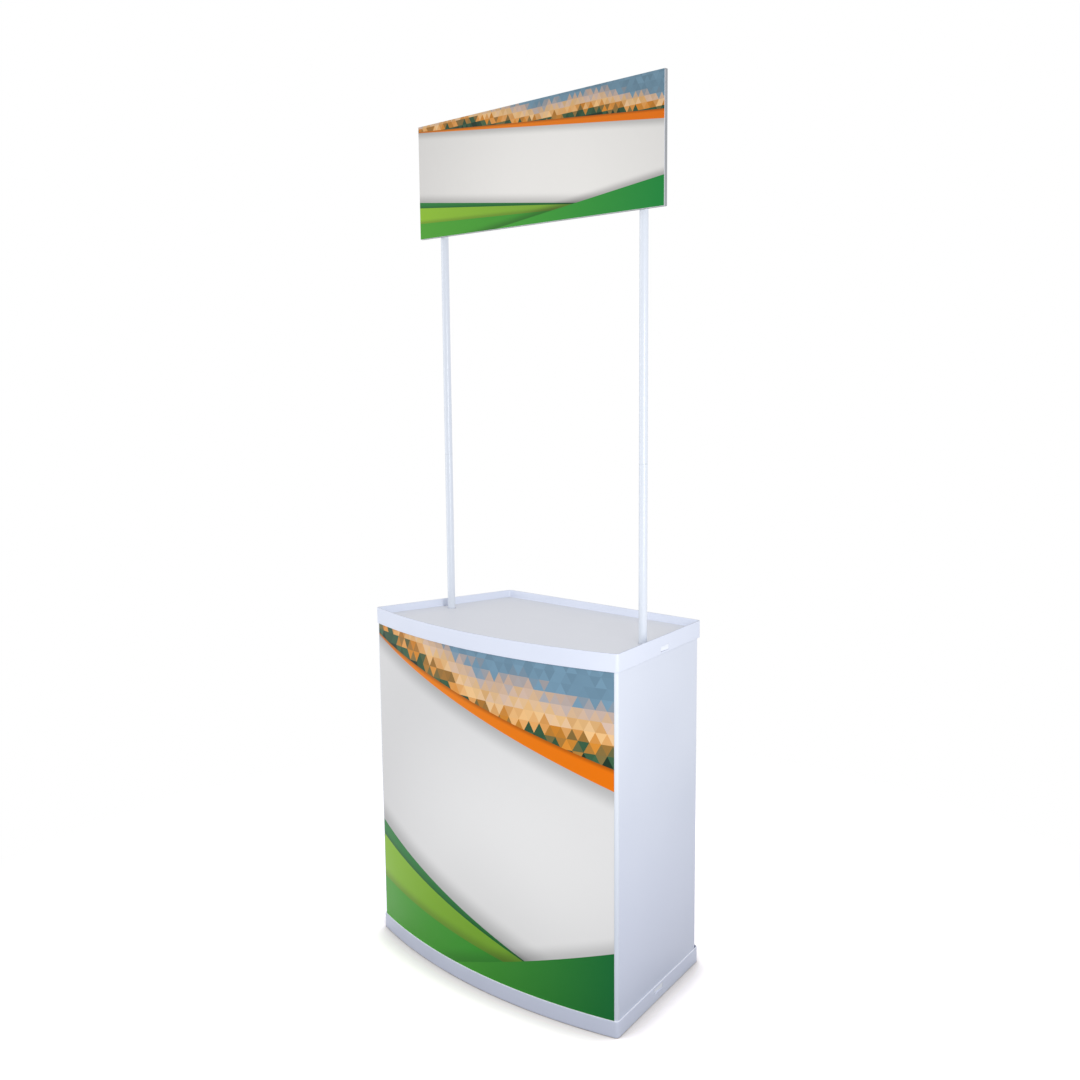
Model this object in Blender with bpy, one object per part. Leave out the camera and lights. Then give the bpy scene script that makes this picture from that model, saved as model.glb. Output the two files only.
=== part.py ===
"""Exhibition counter with a bowed front, an open back, an inner shelf and a header board on two poles.

Metres, +Z up, +X to the right and +Y to the back. The origin is on the ground, in the middle of the plan.
Sizes come first, then what is worked out from them, the mesh helpers, one function for each kind of
piece, and main, which builds the counter from the ground up.
"""

import math
from typing import NamedTuple

import bmesh
import bpy
from mathutils import Vector

# Plan of the two trays, corner to corner before the corners are rounded
FRONT_WIDTH = 0.825
BACK_WIDTH = 0.661
SIDE_DEPTH = 0.417
BOW_DEPTH = 0.061
FRONT_CORNER_RADIUS = 0.009
BACK_CORNER_RADIUS = 0.014
TIGHT_RADIUS = 0.0005

# Clearances
GAP = 0.0003
SLIDE_GAP = 0.0004
OVERRUN = 0.002

# Moulded trays
COUNTER_HEIGHT = 0.883
TOP_SKIRT_HEIGHT = 0.0415
BASE_SKIRT_HEIGHT = 0.040
SKIRT_WALL = 0.0025
TRAY_WALL = 0.003
RIM_WIDTH = 0.0045
RIM_DEPTH = 0.019
RIM_DRAFT = 0.0025
EDGE_RADIUS = 0.0012
FLOOR_FILLET = 0.004
FLOOR_MARGIN = 0.008
BASE_GROOVE_DEPTH = 0.020
SKIRT_LIFT = 0.001

# Stiffening ribs and locating lugs moulded on the trays and the shelf
RIB_WALL = 0.002
TOP_RIB_HEIGHT = 0.011
RIB_EDGE_MARGIN = 0.030
LONG_RIB_SHARES = (0.0, 0.35, 0.68, 1.0)
CROSS_RIB_SHARES = (-1.0, -0.5, 0.0, 0.5, 1.0)
LUG_WALL = 0.0018
LUG_HEIGHT = 0.014
LUG_LENGTH = 0.050
FRONT_LUG_SHARES = (-0.72, -0.26, 0.26, 0.72)
SIDE_LUG_SHARES = (0.2, 0.8)

# Feet
FOOT_RADIUS = 0.013
FOOT_HEIGHT = 0.003
FOOT_BOSS_RADIUS = 0.015
FOOT_INSET = 0.045
FOOT_FROM_END = 0.045
FOOT_CHAMFER_SHARE = 0.2

# Wall panels, front print and corner profiles
PANEL_WALL = 0.003
PRINT_WALL = 0.0006
PRINT_TUCK = 0.016
PANEL_BACK_SETBACK = 0.010
PANEL_BACK_RADIUS = 0.012
RETURN_FLANGE = 0.026
CORNER_COVER = 0.002
CORNER_FLANGE_REACH = 0.012
CORNER_FLANGE_WALL = 0.0015

# Snap catches, one at the top and one at the foot of each side panel
CATCH_LENGTH = 0.0405
CATCH_HEIGHT = 0.0125
CATCH_FROM_EDGE = 0.0115
TOP_CATCH_ALONG = 0.226
BASE_CATCH_ALONG = 0.202
CATCH_END_GAP = 0.001
CATCH_RAMP_SHARE = 0.3
CATCH_SHY = 0.0003
NICHE_ALONG = 0.218
NICHE_LENGTH = 0.036
NICHE_WIDTH = 0.008
NICHE_INSET = 0.003

# Shelf and its rails
SHELF_TOP = 0.430
SHELF_WALL = 0.003
SHELF_FLANGE_HEIGHT = 0.018
SHELF_FLANGE_WALL = 0.0025
SHELF_INSET = 0.0105
SHELF_CORNER_RADIUS = 0.008
SHELF_BACK_GAP = 0.0025
SHELF_RIB_HEIGHT = 0.012
SHELF_RIB_MARGIN = 0.040
RAIL_WALL = 0.0025
RAIL_WIDTH = 0.018
RAIL_HEIGHT = 0.022
RAIL_END_SHARES = (0.12, 0.86)
RAIL_WEB_SHARES = (0.08, 0.36, 0.64, 0.92)

# Poles and their sockets
POLE_INSET = 0.0457
POLE_FROM_BACK = 0.2265
POLE_RADIUS = 0.010
POLE_WALL = 0.0012
LOWER_POLE_LENGTH = 0.489
UPPER_POLE_LENGTH = 0.819
POLE_SEAT_DEPTH = 0.075
POLE_HOLE_GAP = 0.0014
SOCKET_WALL = 0.0028
SOCKET_FLANGE_RADIUS = 0.024
SOCKET_FLANGE_WALL = 0.003
SOCKET_WEB_HEIGHT = 0.035
SOCKET_WEB_COUNT = 4
SPIGOT_WALL = 0.0015
SPIGOT_LENGTH = 0.100

# Header board, its print, saddle clips and screws
HEADER_WIDTH = 0.800
HEADER_HEIGHT = 0.284
HEADER_THICKNESS = 0.010
HEADER_EDGE_RADIUS = 0.0008
CLIP_WALL = 0.0025
CLIP_HEIGHT = 0.028
CLIP_FROM_EDGE = 0.020
CLIP_EAR_REACH = 0.027
CLIP_LID_SETBACK = 0.001
SCREW_RADIUS = 0.0016
SCREW_LENGTH = 0.0085
SCREW_TIP_LENGTH = 0.001
SCREW_HEAD_RADIUS = 0.0036
SCREW_HEAD_HEIGHT = 0.0021
SCREW_TIP_SHARE = 0.5
SCREW_RIM_SHARE = 0.5
SCREW_CROWN_SHARE = 0.75

# How finely curves are cut
BOW_STEPS = 12
FRONT_CORNER_STEPS = 5
BACK_CORNER_STEPS = 5
EDGE_STEPS = 3
POLE_SIDES = 32
SCREW_SIDES = 12
CLIP_STEPS = 12
BEVEL_STEPS = 2
ROUND_PROFILE_SHARE = 0.5
SMOOTH_ANGLE = math.radians(35)

# Finishes: colour, roughness and metallic value
FINISHES = {
    "tray_abs": ((0.78, 0.82, 0.92), 0.38, 0.0),
    "panel_abs": ((0.72, 0.77, 0.88), 0.42, 0.0),
    "catch_abs": ((0.78, 0.82, 0.92), 0.38, 0.0),
    "shelf_abs": ((0.72, 0.75, 0.82), 0.45, 0.0),
    "socket_abs": ((0.72, 0.75, 0.82), 0.45, 0.0),
    "corner_vinyl": ((0.86, 0.90, 0.95), 0.30, 0.0),
    "pole_enamel": ((0.78, 0.82, 0.92), 0.25, 0.0),
    "front_film": ((0.78, 0.79, 0.79), 0.35, 0.0),
    "header_film": ((0.78, 0.79, 0.79), 0.35, 0.0),
    "foam_board": ((0.75, 0.75, 0.74), 0.60, 0.0),
    "clip_nylon": ((0.74, 0.76, 0.80), 0.50, 0.0),
    "pad_rubber": ((0.05, 0.05, 0.05), 0.80, 0.0),
    "spigot_steel": ((0.60, 0.61, 0.63), 0.35, 1.0),
    "screw_steel": ((0.60, 0.61, 0.63), 0.30, 1.0),
}

# The sides lean in towards the back: the right side's outward and backward directions
SIDE_LEAN = math.atan2((FRONT_WIDTH - BACK_WIDTH) / 2, SIDE_DEPTH)
SIDE_LENGTH = SIDE_DEPTH / math.cos(SIDE_LEAN)
OUTWARD = Vector((math.cos(SIDE_LEAN), math.sin(SIDE_LEAN)))
BACKWARD = Vector((-math.sin(SIDE_LEAN), math.cos(SIDE_LEAN)))

# The bowed front is one arc through both front corners
BACK_Y = (SIDE_DEPTH + BOW_DEPTH) / 2
CORNER = Vector((FRONT_WIDTH / 2, BACK_Y - SIDE_DEPTH))
BOW_RADIUS = ((FRONT_WIDTH / 2) ** 2 + BOW_DEPTH**2) / (2 * BOW_DEPTH)
BOW_CENTRE = Vector((0, BOW_RADIUS - BACK_Y))
BOW_MIDDLE = -math.pi / 2

# Heights of the trays' faces
FLOOR_TOP = COUNTER_HEIGHT - RIM_DEPTH
FLOOR_UNDER = FLOOR_TOP - TRAY_WALL
TOP_SKIRT_EDGE = COUNTER_HEIGHT - TOP_SKIRT_HEIGHT
BASE_PLATE_TOP = BASE_SKIRT_HEIGHT - BASE_GROOVE_DEPTH
BASE_PLATE_UNDER = BASE_PLATE_TOP - TRAY_WALL

# Insets of the wall's layers from the trays' outer faces
WALL_INSET = SKIRT_WALL + GAP
FRONT_PANEL_INSET = WALL_INSET + PRINT_WALL + GAP
FRONT_INSIDE = FRONT_PANEL_INSET + PANEL_WALL + GAP
SIDE_INSIDE = WALL_INSET + PANEL_WALL + GAP
PANEL_LOW = BASE_PLATE_TOP + GAP
PANEL_HIGH = FLOOR_UNDER - GAP
PANEL_BACK_Y = BACK_Y - PANEL_BACK_SETBACK

# Poles and header, from the seat in the tray upwards
POLE_Y = BACK_Y - POLE_FROM_BACK
POLE_X = CORNER.x - (POLE_Y - CORNER.y) * math.tan(SIDE_LEAN) - POLE_INSET / math.cos(SIDE_LEAN)
POLE_SEAT = FLOOR_TOP - POLE_SEAT_DEPTH
SEAM = POLE_SEAT + LOWER_POLE_LENGTH
POLE_TOP = SEAM + GAP + UPPER_POLE_LENGTH
LID_UNDER = CLIP_HEIGHT - CLIP_LID_SETBACK - CLIP_WALL
TOP_CLIP_HEIGHT = HEADER_HEIGHT - CLIP_FROM_EDGE - CLIP_HEIGHT
HEADER_BOTTOM = POLE_TOP + GAP - LID_UNDER - TOP_CLIP_HEIGHT

# Depths of the header's layers from the poles' axes, which its own frame is centred on
HEADER_BACK = -POLE_RADIUS - GAP
HEADER_FRONT = HEADER_BACK - HEADER_THICKNESS
BOARD_FRONT = HEADER_FRONT + PRINT_WALL + GAP
EAR_FRONT = HEADER_BACK + GAP
EAR_BACK = EAR_FRONT + CLIP_WALL
SCREW_SEAT = EAR_BACK + GAP

# Radii and the shelf's seat
CLIP_BORE = POLE_RADIUS + SLIDE_GAP
CLIP_OUTER = CLIP_BORE + CLIP_WALL
CLIP_SCREW_X = (CLIP_OUTER + CLIP_EAR_REACH) / 2
SOCKET_BORE = POLE_RADIUS + SLIDE_GAP
SOCKET_OUTER = SOCKET_BORE + SOCKET_WALL
POLE_BORE = POLE_RADIUS - POLE_WALL
SPIGOT_RADIUS = POLE_BORE - GAP
SHELF_SEAT = SHELF_TOP - SHELF_FLANGE_HEIGHT

SIDES = {"right": 1, "left": -1}


class Plan(NamedTuple):
    """How a piece's outline departs from the plan: its corner radii at no inset, and its back's setback."""

    front_radius: float = FRONT_CORNER_RADIUS
    back_radius: float = BACK_CORNER_RADIUS
    back_setback: float = 0.0


TRAY_PLAN = Plan()
SHELF_PLAN = Plan(
    SHELF_INSET + SHELF_CORNER_RADIUS,
    SHELF_INSET + SHELF_CORNER_RADIUS,
    PANEL_BACK_SETBACK + PANEL_WALL + SHELF_BACK_GAP - SHELF_INSET,
)


# Plan geometry


def polar(centre, radius, angle):
    return centre + radius * Vector((math.cos(angle), math.sin(angle)))


def arc(centre, radius, start, end, steps):
    return [polar(centre, radius, start + (end - start) * i / steps) for i in range(steps + 1)]


def meeting_point(bow_inset, side_inset):
    """Where the bow and the right side meet, each moved in by its inset."""
    foot = OUTWARD * (CORNER.dot(OUTWARD) - side_inset)
    offset = foot - BOW_CENTRE
    ahead = BACKWARD.dot(offset)
    square = ahead**2 - offset.length_squared + (BOW_RADIUS - bow_inset) ** 2
    return foot - BACKWARD * (ahead + math.sqrt(square))


def bow_end(inset, radius):
    """The angle at which the bow runs into a front corner of this radius, and the corner's centre."""
    centre = meeting_point(inset + radius, inset + radius)
    toward = centre - BOW_CENTRE
    return math.atan2(toward.y, toward.x), centre


def side_x(inset, y):
    """How far out from the middle a line in from the right side's face is, this far back."""
    return CORNER.x - (y - CORNER.y) * math.tan(SIDE_LEAN) - inset / math.cos(SIDE_LEAN)


def back_corner(inset, radius, back_y):
    """The centre of the right back corner of this radius, whose back face is at back_y."""
    y = back_y - radius
    return Vector((side_x(inset + radius, y), y))


def side_point(inset, along):
    """A point this far in from the right side's face, and this far back from its front corner."""
    return CORNER + BACKWARD * along - OUTWARD * inset


def half_outline(inset, plan):
    """The right half of the outline, from the middle of the bow to the back."""
    front_radius = max(plan.front_radius - inset, TIGHT_RADIUS)
    back_radius = max(plan.back_radius - inset, TIGHT_RADIUS)
    end, front = bow_end(inset, front_radius)
    back = back_corner(inset, back_radius, BACK_Y - plan.back_setback - inset)
    bow = arc(BOW_CENTRE, BOW_RADIUS - inset, BOW_MIDDLE, end, BOW_STEPS)
    corner = arc(front, front_radius, end, SIDE_LEAN, FRONT_CORNER_STEPS)
    return bow + corner[1:] + arc(back, back_radius, SIDE_LEAN, math.pi / 2, BACK_CORNER_STEPS)


def outline(inset, z, plan=TRAY_PLAN):
    """The whole outline at height z, as a ring of points."""
    half = half_outline(inset, plan)
    left = [(-point.x, point.y, z) for point in reversed(half[1:])]
    return [(point.x, point.y, z) for point in half] + left


def rounded(corners):
    """The points of a section given as (inset, height, radius), with each corner rounded by a true arc."""
    points = [Vector(corners[0][:2])]
    for before, corner, after in zip(corners, corners[1:], corners[2:]):
        here, radius = Vector(corner[:2]), corner[2]
        if not radius:
            points.append(here)
            continue
        back = (Vector(before[:2]) - here).normalized()
        ahead = (Vector(after[:2]) - here).normalized()
        half = back.angle(ahead) / 2
        centre = here + (back + ahead).normalized() * radius / math.sin(half)
        start = here + back * radius / math.tan(half) - centre
        end = here + ahead * radius / math.tan(half) - centre
        first = math.atan2(start.y, start.x)
        turn = math.remainder(math.atan2(end.y, end.x) - first, 2 * math.pi)
        points += arc(centre, radius, first, first + turn, EDGE_STEPS)
    return points + [Vector(corners[-1][:2])]


# Mesh helpers: each adds a closed shape to a bmesh


def skin(shape, rings, loop=False):
    """Skins rings of as many points each, and caps the ends or, in a loop, joins the last to the first."""
    rows = [[shape.verts.new(point) for point in ring] for ring in rings]
    pairs = list(zip(rows, rows[1:]))
    if loop:
        pairs.append((rows[-1], rows[0]))
    else:
        shape.faces.new(rows[0])
        shape.faces.new(rows[-1])
    for low, high in pairs:
        for i in range(len(low)):
            shape.faces.new((low[i - 1], low[i], high[i], high[i - 1]))


def prism(shape, points, low, high):
    """An upright prism on a plan outline."""
    skin(shape, [[(x, y, z) for x, y in points] for z in (low, high)])


def box(shape, low, high):
    corners = [(low[0], low[1]), (high[0], low[1]), (high[0], high[1]), (low[0], high[1])]
    prism(shape, corners, low[2], high[2])


def swept_section(shape, corners, plan=TRAY_PLAN):
    """A wall section carried all the way round the plan, closed by its first and last rings."""
    skin(shape, [outline(point.x, point.y, plan) for point in rounded(corners)])


def circle(centre, radius, z, sides=POLE_SIDES):
    return [(*polar(Vector(centre), radius, 2 * math.pi * i / sides), z) for i in range(sides)]


def turned(shape, profile, centre=(0, 0), sides=POLE_SIDES, loop=False):
    """A shape turned about an upright axis, from (radius, height) pairs."""
    skin(shape, [circle(centre, radius, z, sides) for radius, z in profile], loop)


def tube(shape, outer, inner, low, high):
    turned(shape, [(outer, low), (outer, high), (inner, high), (inner, low)], loop=True)


def side_block(shape, side, insets, alongs, heights):
    """A block in line with a side wall, between two insets, two distances along it and two heights."""
    corners = [(insets[0], alongs[0]), (insets[1], alongs[0]), (insets[1], alongs[1]), (insets[0], alongs[1])]
    points = [side_point(inset, along) for inset, along in corners]
    prism(shape, [(side * point.x, point.y) for point in points], *heights)


# Objects


def finish(name):
    """The Principled material of this finish, made once."""
    material = bpy.data.materials.get(name)
    if material:
        return material
    colour, roughness, metallic = FINISHES[name]
    material = bpy.data.materials.new(name)
    material.use_nodes = True
    shader = material.node_tree.nodes["Principled BSDF"]
    shader.inputs["Base Color"].default_value = (*colour, 1.0)
    shader.inputs["Roughness"].default_value = roughness
    shader.inputs["Metallic"].default_value = metallic
    return material


def make_object(name, shape):
    bmesh.ops.recalc_face_normals(shape, faces=shape.faces)
    mesh = bpy.data.meshes.new(name)
    shape.to_mesh(mesh)
    shape.free()
    made = bpy.data.objects.new(name, mesh)
    bpy.context.scene.collection.objects.link(made)
    return made


def add_piece(name, shape, finish_name, location=(0, 0, 0), carrier=None):
    """One real piece: its object, placed on what carries it, with its finish and smooth curved faces."""
    piece = make_object(name, shape)
    piece.data.materials.append(finish(finish_name))
    piece.data.shade_smooth()
    piece.data.set_sharp_from_angle(angle=SMOOTH_ANGLE)
    piece.location = location
    if carrier:
        piece.parent = carrier
        piece.location -= carrier.location
    return piece


def add_carrier(name, location):
    """An empty on a joint's axis, which carries what moves with the joint."""
    carrier = bpy.data.objects.new(name, None)
    carrier.location = location
    bpy.context.scene.collection.objects.link(carrier)
    return carrier


def combine(piece, operation, shape):
    """Cuts a hidden helper shape from a piece, or joins it on."""
    helper = make_object(f"{piece.name}_{operation.lower()}", shape)
    helper.hide_render = True
    helper.display_type = "WIRE"
    helper.location = piece.location
    helper.parent = piece.parent
    modifier = piece.modifiers.new(helper.name, "BOOLEAN")
    modifier.operation = operation
    modifier.object = helper


# Details that the two trays share


def add_ribs(piece, long_ys, cross_xs, low, high):
    """Ribs along X at each y, and ribs along Y at each x, joined to the underside in two passes."""
    half = RIB_WALL / 2
    long_ribs = bmesh.new()
    for y in long_ys:
        box(long_ribs, (min(cross_xs) - half, y - half, low), (max(cross_xs) + half, y + half, high))
    combine(piece, "UNION", long_ribs)
    cross_ribs = bmesh.new()
    for x in cross_xs:
        box(cross_ribs, (x - half, min(long_ys), low), (x + half, max(long_ys), high))
    combine(piece, "UNION", cross_ribs)


def spread(low, high, shares):
    return [low + (high - low) * share for share in shares]


def add_lugs(piece, low, high):
    """Lugs that hold the wall's edges against the skirt, along the bow, the sides and the back flanges."""
    lugs = bmesh.new()
    end, _ = bow_end(0, FRONT_CORNER_RADIUS)
    half_turn = LUG_LENGTH / 2 / BOW_RADIUS
    for share in FRONT_LUG_SHARES:
        middle = BOW_MIDDLE + (end - BOW_MIDDLE) * share
        radii = (BOW_RADIUS - FRONT_INSIDE, BOW_RADIUS - FRONT_INSIDE - LUG_WALL)
        outer = [polar(BOW_CENTRE, radii[0], middle + turn) for turn in (-half_turn, 0, half_turn)]
        inner = [polar(BOW_CENTRE, radii[1], middle + turn) for turn in (half_turn, 0, -half_turn)]
        prism(lugs, outer + inner, low, high)
    for side in SIDES.values():
        for share in SIDE_LUG_SHARES:
            middle = SIDE_LENGTH * share
            alongs = (middle - LUG_LENGTH / 2, middle + LUG_LENGTH / 2)
            side_block(lugs, side, (SIDE_INSIDE, SIDE_INSIDE + LUG_WALL), alongs, (low, high))
        tip = flange_tip()
        back = PANEL_BACK_Y - PANEL_WALL - GAP
        xs = sorted((side * tip, side * (tip + RETURN_FLANGE / 2)))
        box(lugs, (xs[0], back - LUG_WALL, low), (xs[1], back, high))
    combine(piece, "UNION", lugs)


def catch_window(shape, side, insets, along, z):
    """The window that a catch's lever or head fills, through the layer between two insets."""
    reach = CATCH_LENGTH / 2 + CATCH_END_GAP
    rise = CATCH_HEIGHT / 2 + GAP
    side_block(shape, side, insets, (along - reach, along + reach), (z - rise, z + rise))


# Pieces


def add_base_tray():
    shape = bmesh.new()
    section = [
        (SKIRT_WALL, BASE_PLATE_TOP, 0),
        (SKIRT_WALL, BASE_SKIRT_HEIGHT, 0),
        (0, BASE_SKIRT_HEIGHT, EDGE_RADIUS),
        (0, SKIRT_LIFT, EDGE_RADIUS),
        (SKIRT_WALL, SKIRT_LIFT, 0),
        (SKIRT_WALL, BASE_PLATE_UNDER, 0),
    ]
    swept_section(shape, section)
    tray = add_piece("base_tray", shape, "tray_abs")
    add_lugs(tray, BASE_PLATE_TOP - TRAY_WALL / 2, BASE_PLATE_TOP + LUG_HEIGHT)
    reach = BACK_WIDTH / 2 - RIB_EDGE_MARGIN
    long_ys = spread(CORNER.y, BACK_Y - RIB_EDGE_MARGIN, LONG_RIB_SHARES)
    cross_xs = [reach * share for share in CROSS_RIB_SHARES]
    add_ribs(tray, long_ys, cross_xs, FOOT_HEIGHT, BASE_PLATE_UNDER + TRAY_WALL / 2)
    bosses = bmesh.new()
    for centre in foot_places().values():
        profile = [(FOOT_BOSS_RADIUS, FOOT_HEIGHT), (FOOT_BOSS_RADIUS, BASE_PLATE_UNDER + TRAY_WALL / 2)]
        turned(bosses, profile, centre)
    combine(tray, "UNION", bosses)
    windows = bmesh.new()
    for side in SIDES.values():
        catch_window(windows, side, (-OVERRUN, WALL_INSET), BASE_CATCH_ALONG, base_catch_height())
    combine(tray, "DIFFERENCE", windows)


def foot_places():
    """Plan centres of the four feet."""
    front_y = CORNER.y + FOOT_FROM_END
    back_y = BACK_Y - FOOT_FROM_END
    places = {}
    for name, side in SIDES.items():
        places[f"front_{name}"] = (side * side_x(FOOT_INSET, front_y), front_y)
        places[f"back_{name}"] = (side * side_x(FOOT_INSET, back_y), back_y)
    return places


def add_feet():
    for place, centre in foot_places().items():
        shape = bmesh.new()
        edge = FOOT_HEIGHT * FOOT_CHAMFER_SHARE
        turned(shape, [(FOOT_RADIUS - edge, 0), (FOOT_RADIUS, edge), (FOOT_RADIUS, FOOT_HEIGHT - GAP)])
        add_piece(f"foot_pad_{place}", shape, "pad_rubber", (*centre, 0))


def wall_end():
    """The bow's angle at which the corner profile starts."""
    end, _ = bow_end(0, FRONT_CORNER_RADIUS)
    return end - CORNER_COVER / BOW_RADIUS


def bow_strip(name, insets, heights, finish_name):
    """A sheet bent along the bow, between two insets, that ends a gap short of each corner profile."""
    turn = wall_end() - GAP / BOW_RADIUS - BOW_MIDDLE
    limits = (BOW_MIDDLE - turn, BOW_MIDDLE + turn)
    outer = arc(BOW_CENTRE, BOW_RADIUS - insets[0], *limits, 2 * BOW_STEPS)
    inner = arc(BOW_CENTRE, BOW_RADIUS - insets[1], *reversed(limits), 2 * BOW_STEPS)
    shape = bmesh.new()
    prism(shape, outer + inner, *heights)
    add_piece(name, shape, finish_name)


def add_front_wall():
    bow_strip(
        "front_panel",
        (FRONT_PANEL_INSET, FRONT_PANEL_INSET + PANEL_WALL),
        (PANEL_LOW, PANEL_HIGH),
        "panel_abs",
    )
    bow_strip(
        "front_print",
        (WALL_INSET, WALL_INSET + PRINT_WALL),
        (BASE_SKIRT_HEIGHT - PRINT_TUCK, TOP_SKIRT_EDGE + PRINT_TUCK),
        "front_film",
    )


def corner_end():
    """How far back from the front corner the corner profile's outer face ends."""
    _, centre = bow_end(0, FRONT_CORNER_RADIUS)
    return (centre - CORNER).dot(BACKWARD) + CORNER_COVER


def add_corner_profile(name, side):
    """An extruded profile round the front corner, with a glue flange behind each of the two panels."""
    end, centre = bow_end(0, FRONT_CORNER_RADIUS)
    start = wall_end()
    front_tip = start - CORNER_FLANGE_REACH / BOW_RADIUS
    side_start = corner_end()
    side_tip = side_start + CORNER_FLANGE_REACH
    front_back = BOW_RADIUS - FRONT_INSIDE
    front_skin = front_back - CORNER_FLANGE_WALL
    side_skin = SIDE_INSIDE + CORNER_FLANGE_WALL
    section = [polar(BOW_CENTRE, BOW_RADIUS - WALL_INSET, start)]
    section += arc(centre, FRONT_CORNER_RADIUS - WALL_INSET, end, SIDE_LEAN, FRONT_CORNER_STEPS)
    section += [side_point(WALL_INSET, side_start), side_point(SIDE_INSIDE, side_start)]
    section += [side_point(SIDE_INSIDE, side_tip), side_point(side_skin, side_tip)]
    section += [meeting_point(FRONT_INSIDE + CORNER_FLANGE_WALL, side_skin)]
    section += [polar(BOW_CENTRE, front_skin, front_tip), polar(BOW_CENTRE, front_back, front_tip)]
    section += [polar(BOW_CENTRE, front_back, start)]
    shape = bmesh.new()
    prism(shape, [(side * point.x, point.y) for point in section], PANEL_LOW, PANEL_HIGH)
    add_piece(f"corner_profile_{name}", shape, "corner_vinyl")


def flange_tip():
    """Where the side panels' return flanges end, out from the middle."""
    corner = back_corner(WALL_INSET, 0, PANEL_BACK_Y)
    return corner.x - RETURN_FLANGE


def side_sheet(inset):
    """One face of the right side panel in plan: along the side, round the back corner, along the flange."""
    depth = inset - WALL_INSET
    centre = back_corner(WALL_INSET, PANEL_BACK_RADIUS, PANEL_BACK_Y)
    bend = arc(centre, PANEL_BACK_RADIUS - depth, SIDE_LEAN, math.pi / 2, BACK_CORNER_STEPS)
    tip = Vector((flange_tip(), PANEL_BACK_Y - depth))
    return [side_point(inset, corner_end() + GAP), *bend, tip]


def top_catch_height():
    return TOP_SKIRT_EDGE + CATCH_FROM_EDGE


def base_catch_height():
    return BASE_SKIRT_HEIGHT - CATCH_FROM_EDGE


def add_side_panel(name, side):
    outer = side_sheet(WALL_INSET)
    inner = side_sheet(WALL_INSET + PANEL_WALL)
    shape = bmesh.new()
    prism(shape, [(side * p.x, p.y) for p in outer + inner[::-1]], PANEL_LOW, PANEL_HIGH)
    panel = add_piece(f"side_panel_{name}", shape, "panel_abs")
    windows = bmesh.new()
    insets = (WALL_INSET - GAP, SIDE_INSIDE)
    catch_window(windows, side, insets, TOP_CATCH_ALONG, top_catch_height())
    catch_window(windows, side, insets, BASE_CATCH_ALONG, base_catch_height())
    combine(panel, "DIFFERENCE", windows)


def add_snap_catch(name, side, along, z):
    """A lever in the panel's window that turns about its round front end, with its head in the skirt."""
    half = PANEL_WALL / 2
    window_front = along - CATCH_LENGTH / 2 - CATCH_END_GAP
    pivot = side_point(WALL_INSET + half, window_front + GAP + half)
    reach = CATCH_LENGTH + CATCH_END_GAP - GAP - half
    head = half + WALL_INSET - CATCH_SHY
    points = arc(Vector((0, 0)), half, -math.pi / 2, -3 * math.pi / 2, 2 * FRONT_CORNER_STEPS)
    points += [Vector((reach * CATCH_RAMP_SHARE, half)), Vector((reach, head)), Vector((reach, -half))]
    plan = [BACKWARD * point.x + OUTWARD * point.y for point in points]
    shape = bmesh.new()
    prism(shape, [(side * p.x, p.y) for p in plan], -CATCH_HEIGHT / 2, CATCH_HEIGHT / 2)
    add_piece(f"snap_catch_{name}", shape, "catch_abs", (side * pivot.x, pivot.y, z))


def add_shelf_rail(name, side):
    """An angle on the side panel's inner face: a ledge for the shelf over a leg, with webs between."""
    top = SHELF_SEAT - GAP
    start, end = (SIDE_LENGTH * share for share in RAIL_END_SHARES)
    leg = SIDE_INSIDE + RAIL_WALL
    tip = SIDE_INSIDE + RAIL_WIDTH
    section = [
        (SIDE_INSIDE, top),
        (tip, top),
        (tip, top - RAIL_WALL),
        (leg, top - RAIL_WALL),
        (leg, top - RAIL_HEIGHT),
        (SIDE_INSIDE, top - RAIL_HEIGHT),
    ]
    shape = bmesh.new()
    skin(shape, [side_ring(side, section, along) for along in (start, end)])
    rail = add_piece(f"shelf_rail_{name}", shape, "shelf_abs")
    root = leg - RAIL_WALL / 2
    low = top - RAIL_HEIGHT + RIB_WALL
    web = [
        (root, top - RAIL_WALL / 2),
        (tip - RIB_WALL, top - RAIL_WALL / 2),
        (tip - RIB_WALL, top - RAIL_WALL),
        (leg, low),
        (root, low),
    ]
    webs = bmesh.new()
    for middle in spread(start, end, RAIL_WEB_SHARES):
        skin(webs, [side_ring(side, web, middle + shift) for shift in (-RIB_WALL / 2, RIB_WALL / 2)])
    combine(rail, "UNION", webs)


def side_ring(side, section, along):
    """A section of (inset, height) pairs, set across the side wall at this distance along it."""
    places = [(side_point(inset, along), z) for inset, z in section]
    return [(side * point.x, point.y, z) for point, z in places]


def add_shelf():
    section = [
        (SHELF_INSET + SHELF_FLANGE_WALL, SHELF_TOP - SHELF_WALL, 0),
        (SHELF_INSET + SHELF_FLANGE_WALL, SHELF_SEAT, 0),
        (SHELF_INSET, SHELF_SEAT, 0),
        (SHELF_INSET, SHELF_TOP, SHELF_FLANGE_WALL),
        (SHELF_INSET + FLOOR_MARGIN, SHELF_TOP, 0),
    ]
    carrier = add_carrier("shelf_slide", (0, 0, SHELF_SEAT))
    shape = bmesh.new()
    swept_section(shape, [(inset, z - SHELF_SEAT, radius) for inset, z, radius in section], SHELF_PLAN)
    shelf = add_piece("shelf", shape, "shelf_abs", carrier.location, carrier)
    reach = BACK_WIDTH / 2 - SHELF_RIB_MARGIN
    long_ys = spread(CORNER.y + SHELF_RIB_MARGIN, PANEL_BACK_Y - SHELF_RIB_MARGIN, LONG_RIB_SHARES)
    cross_xs = [reach * share for share in CROSS_RIB_SHARES]
    under = SHELF_FLANGE_HEIGHT - SHELF_WALL
    add_ribs(shelf, long_ys, cross_xs, under - SHELF_RIB_HEIGHT, under + SHELF_WALL / 2)


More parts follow.
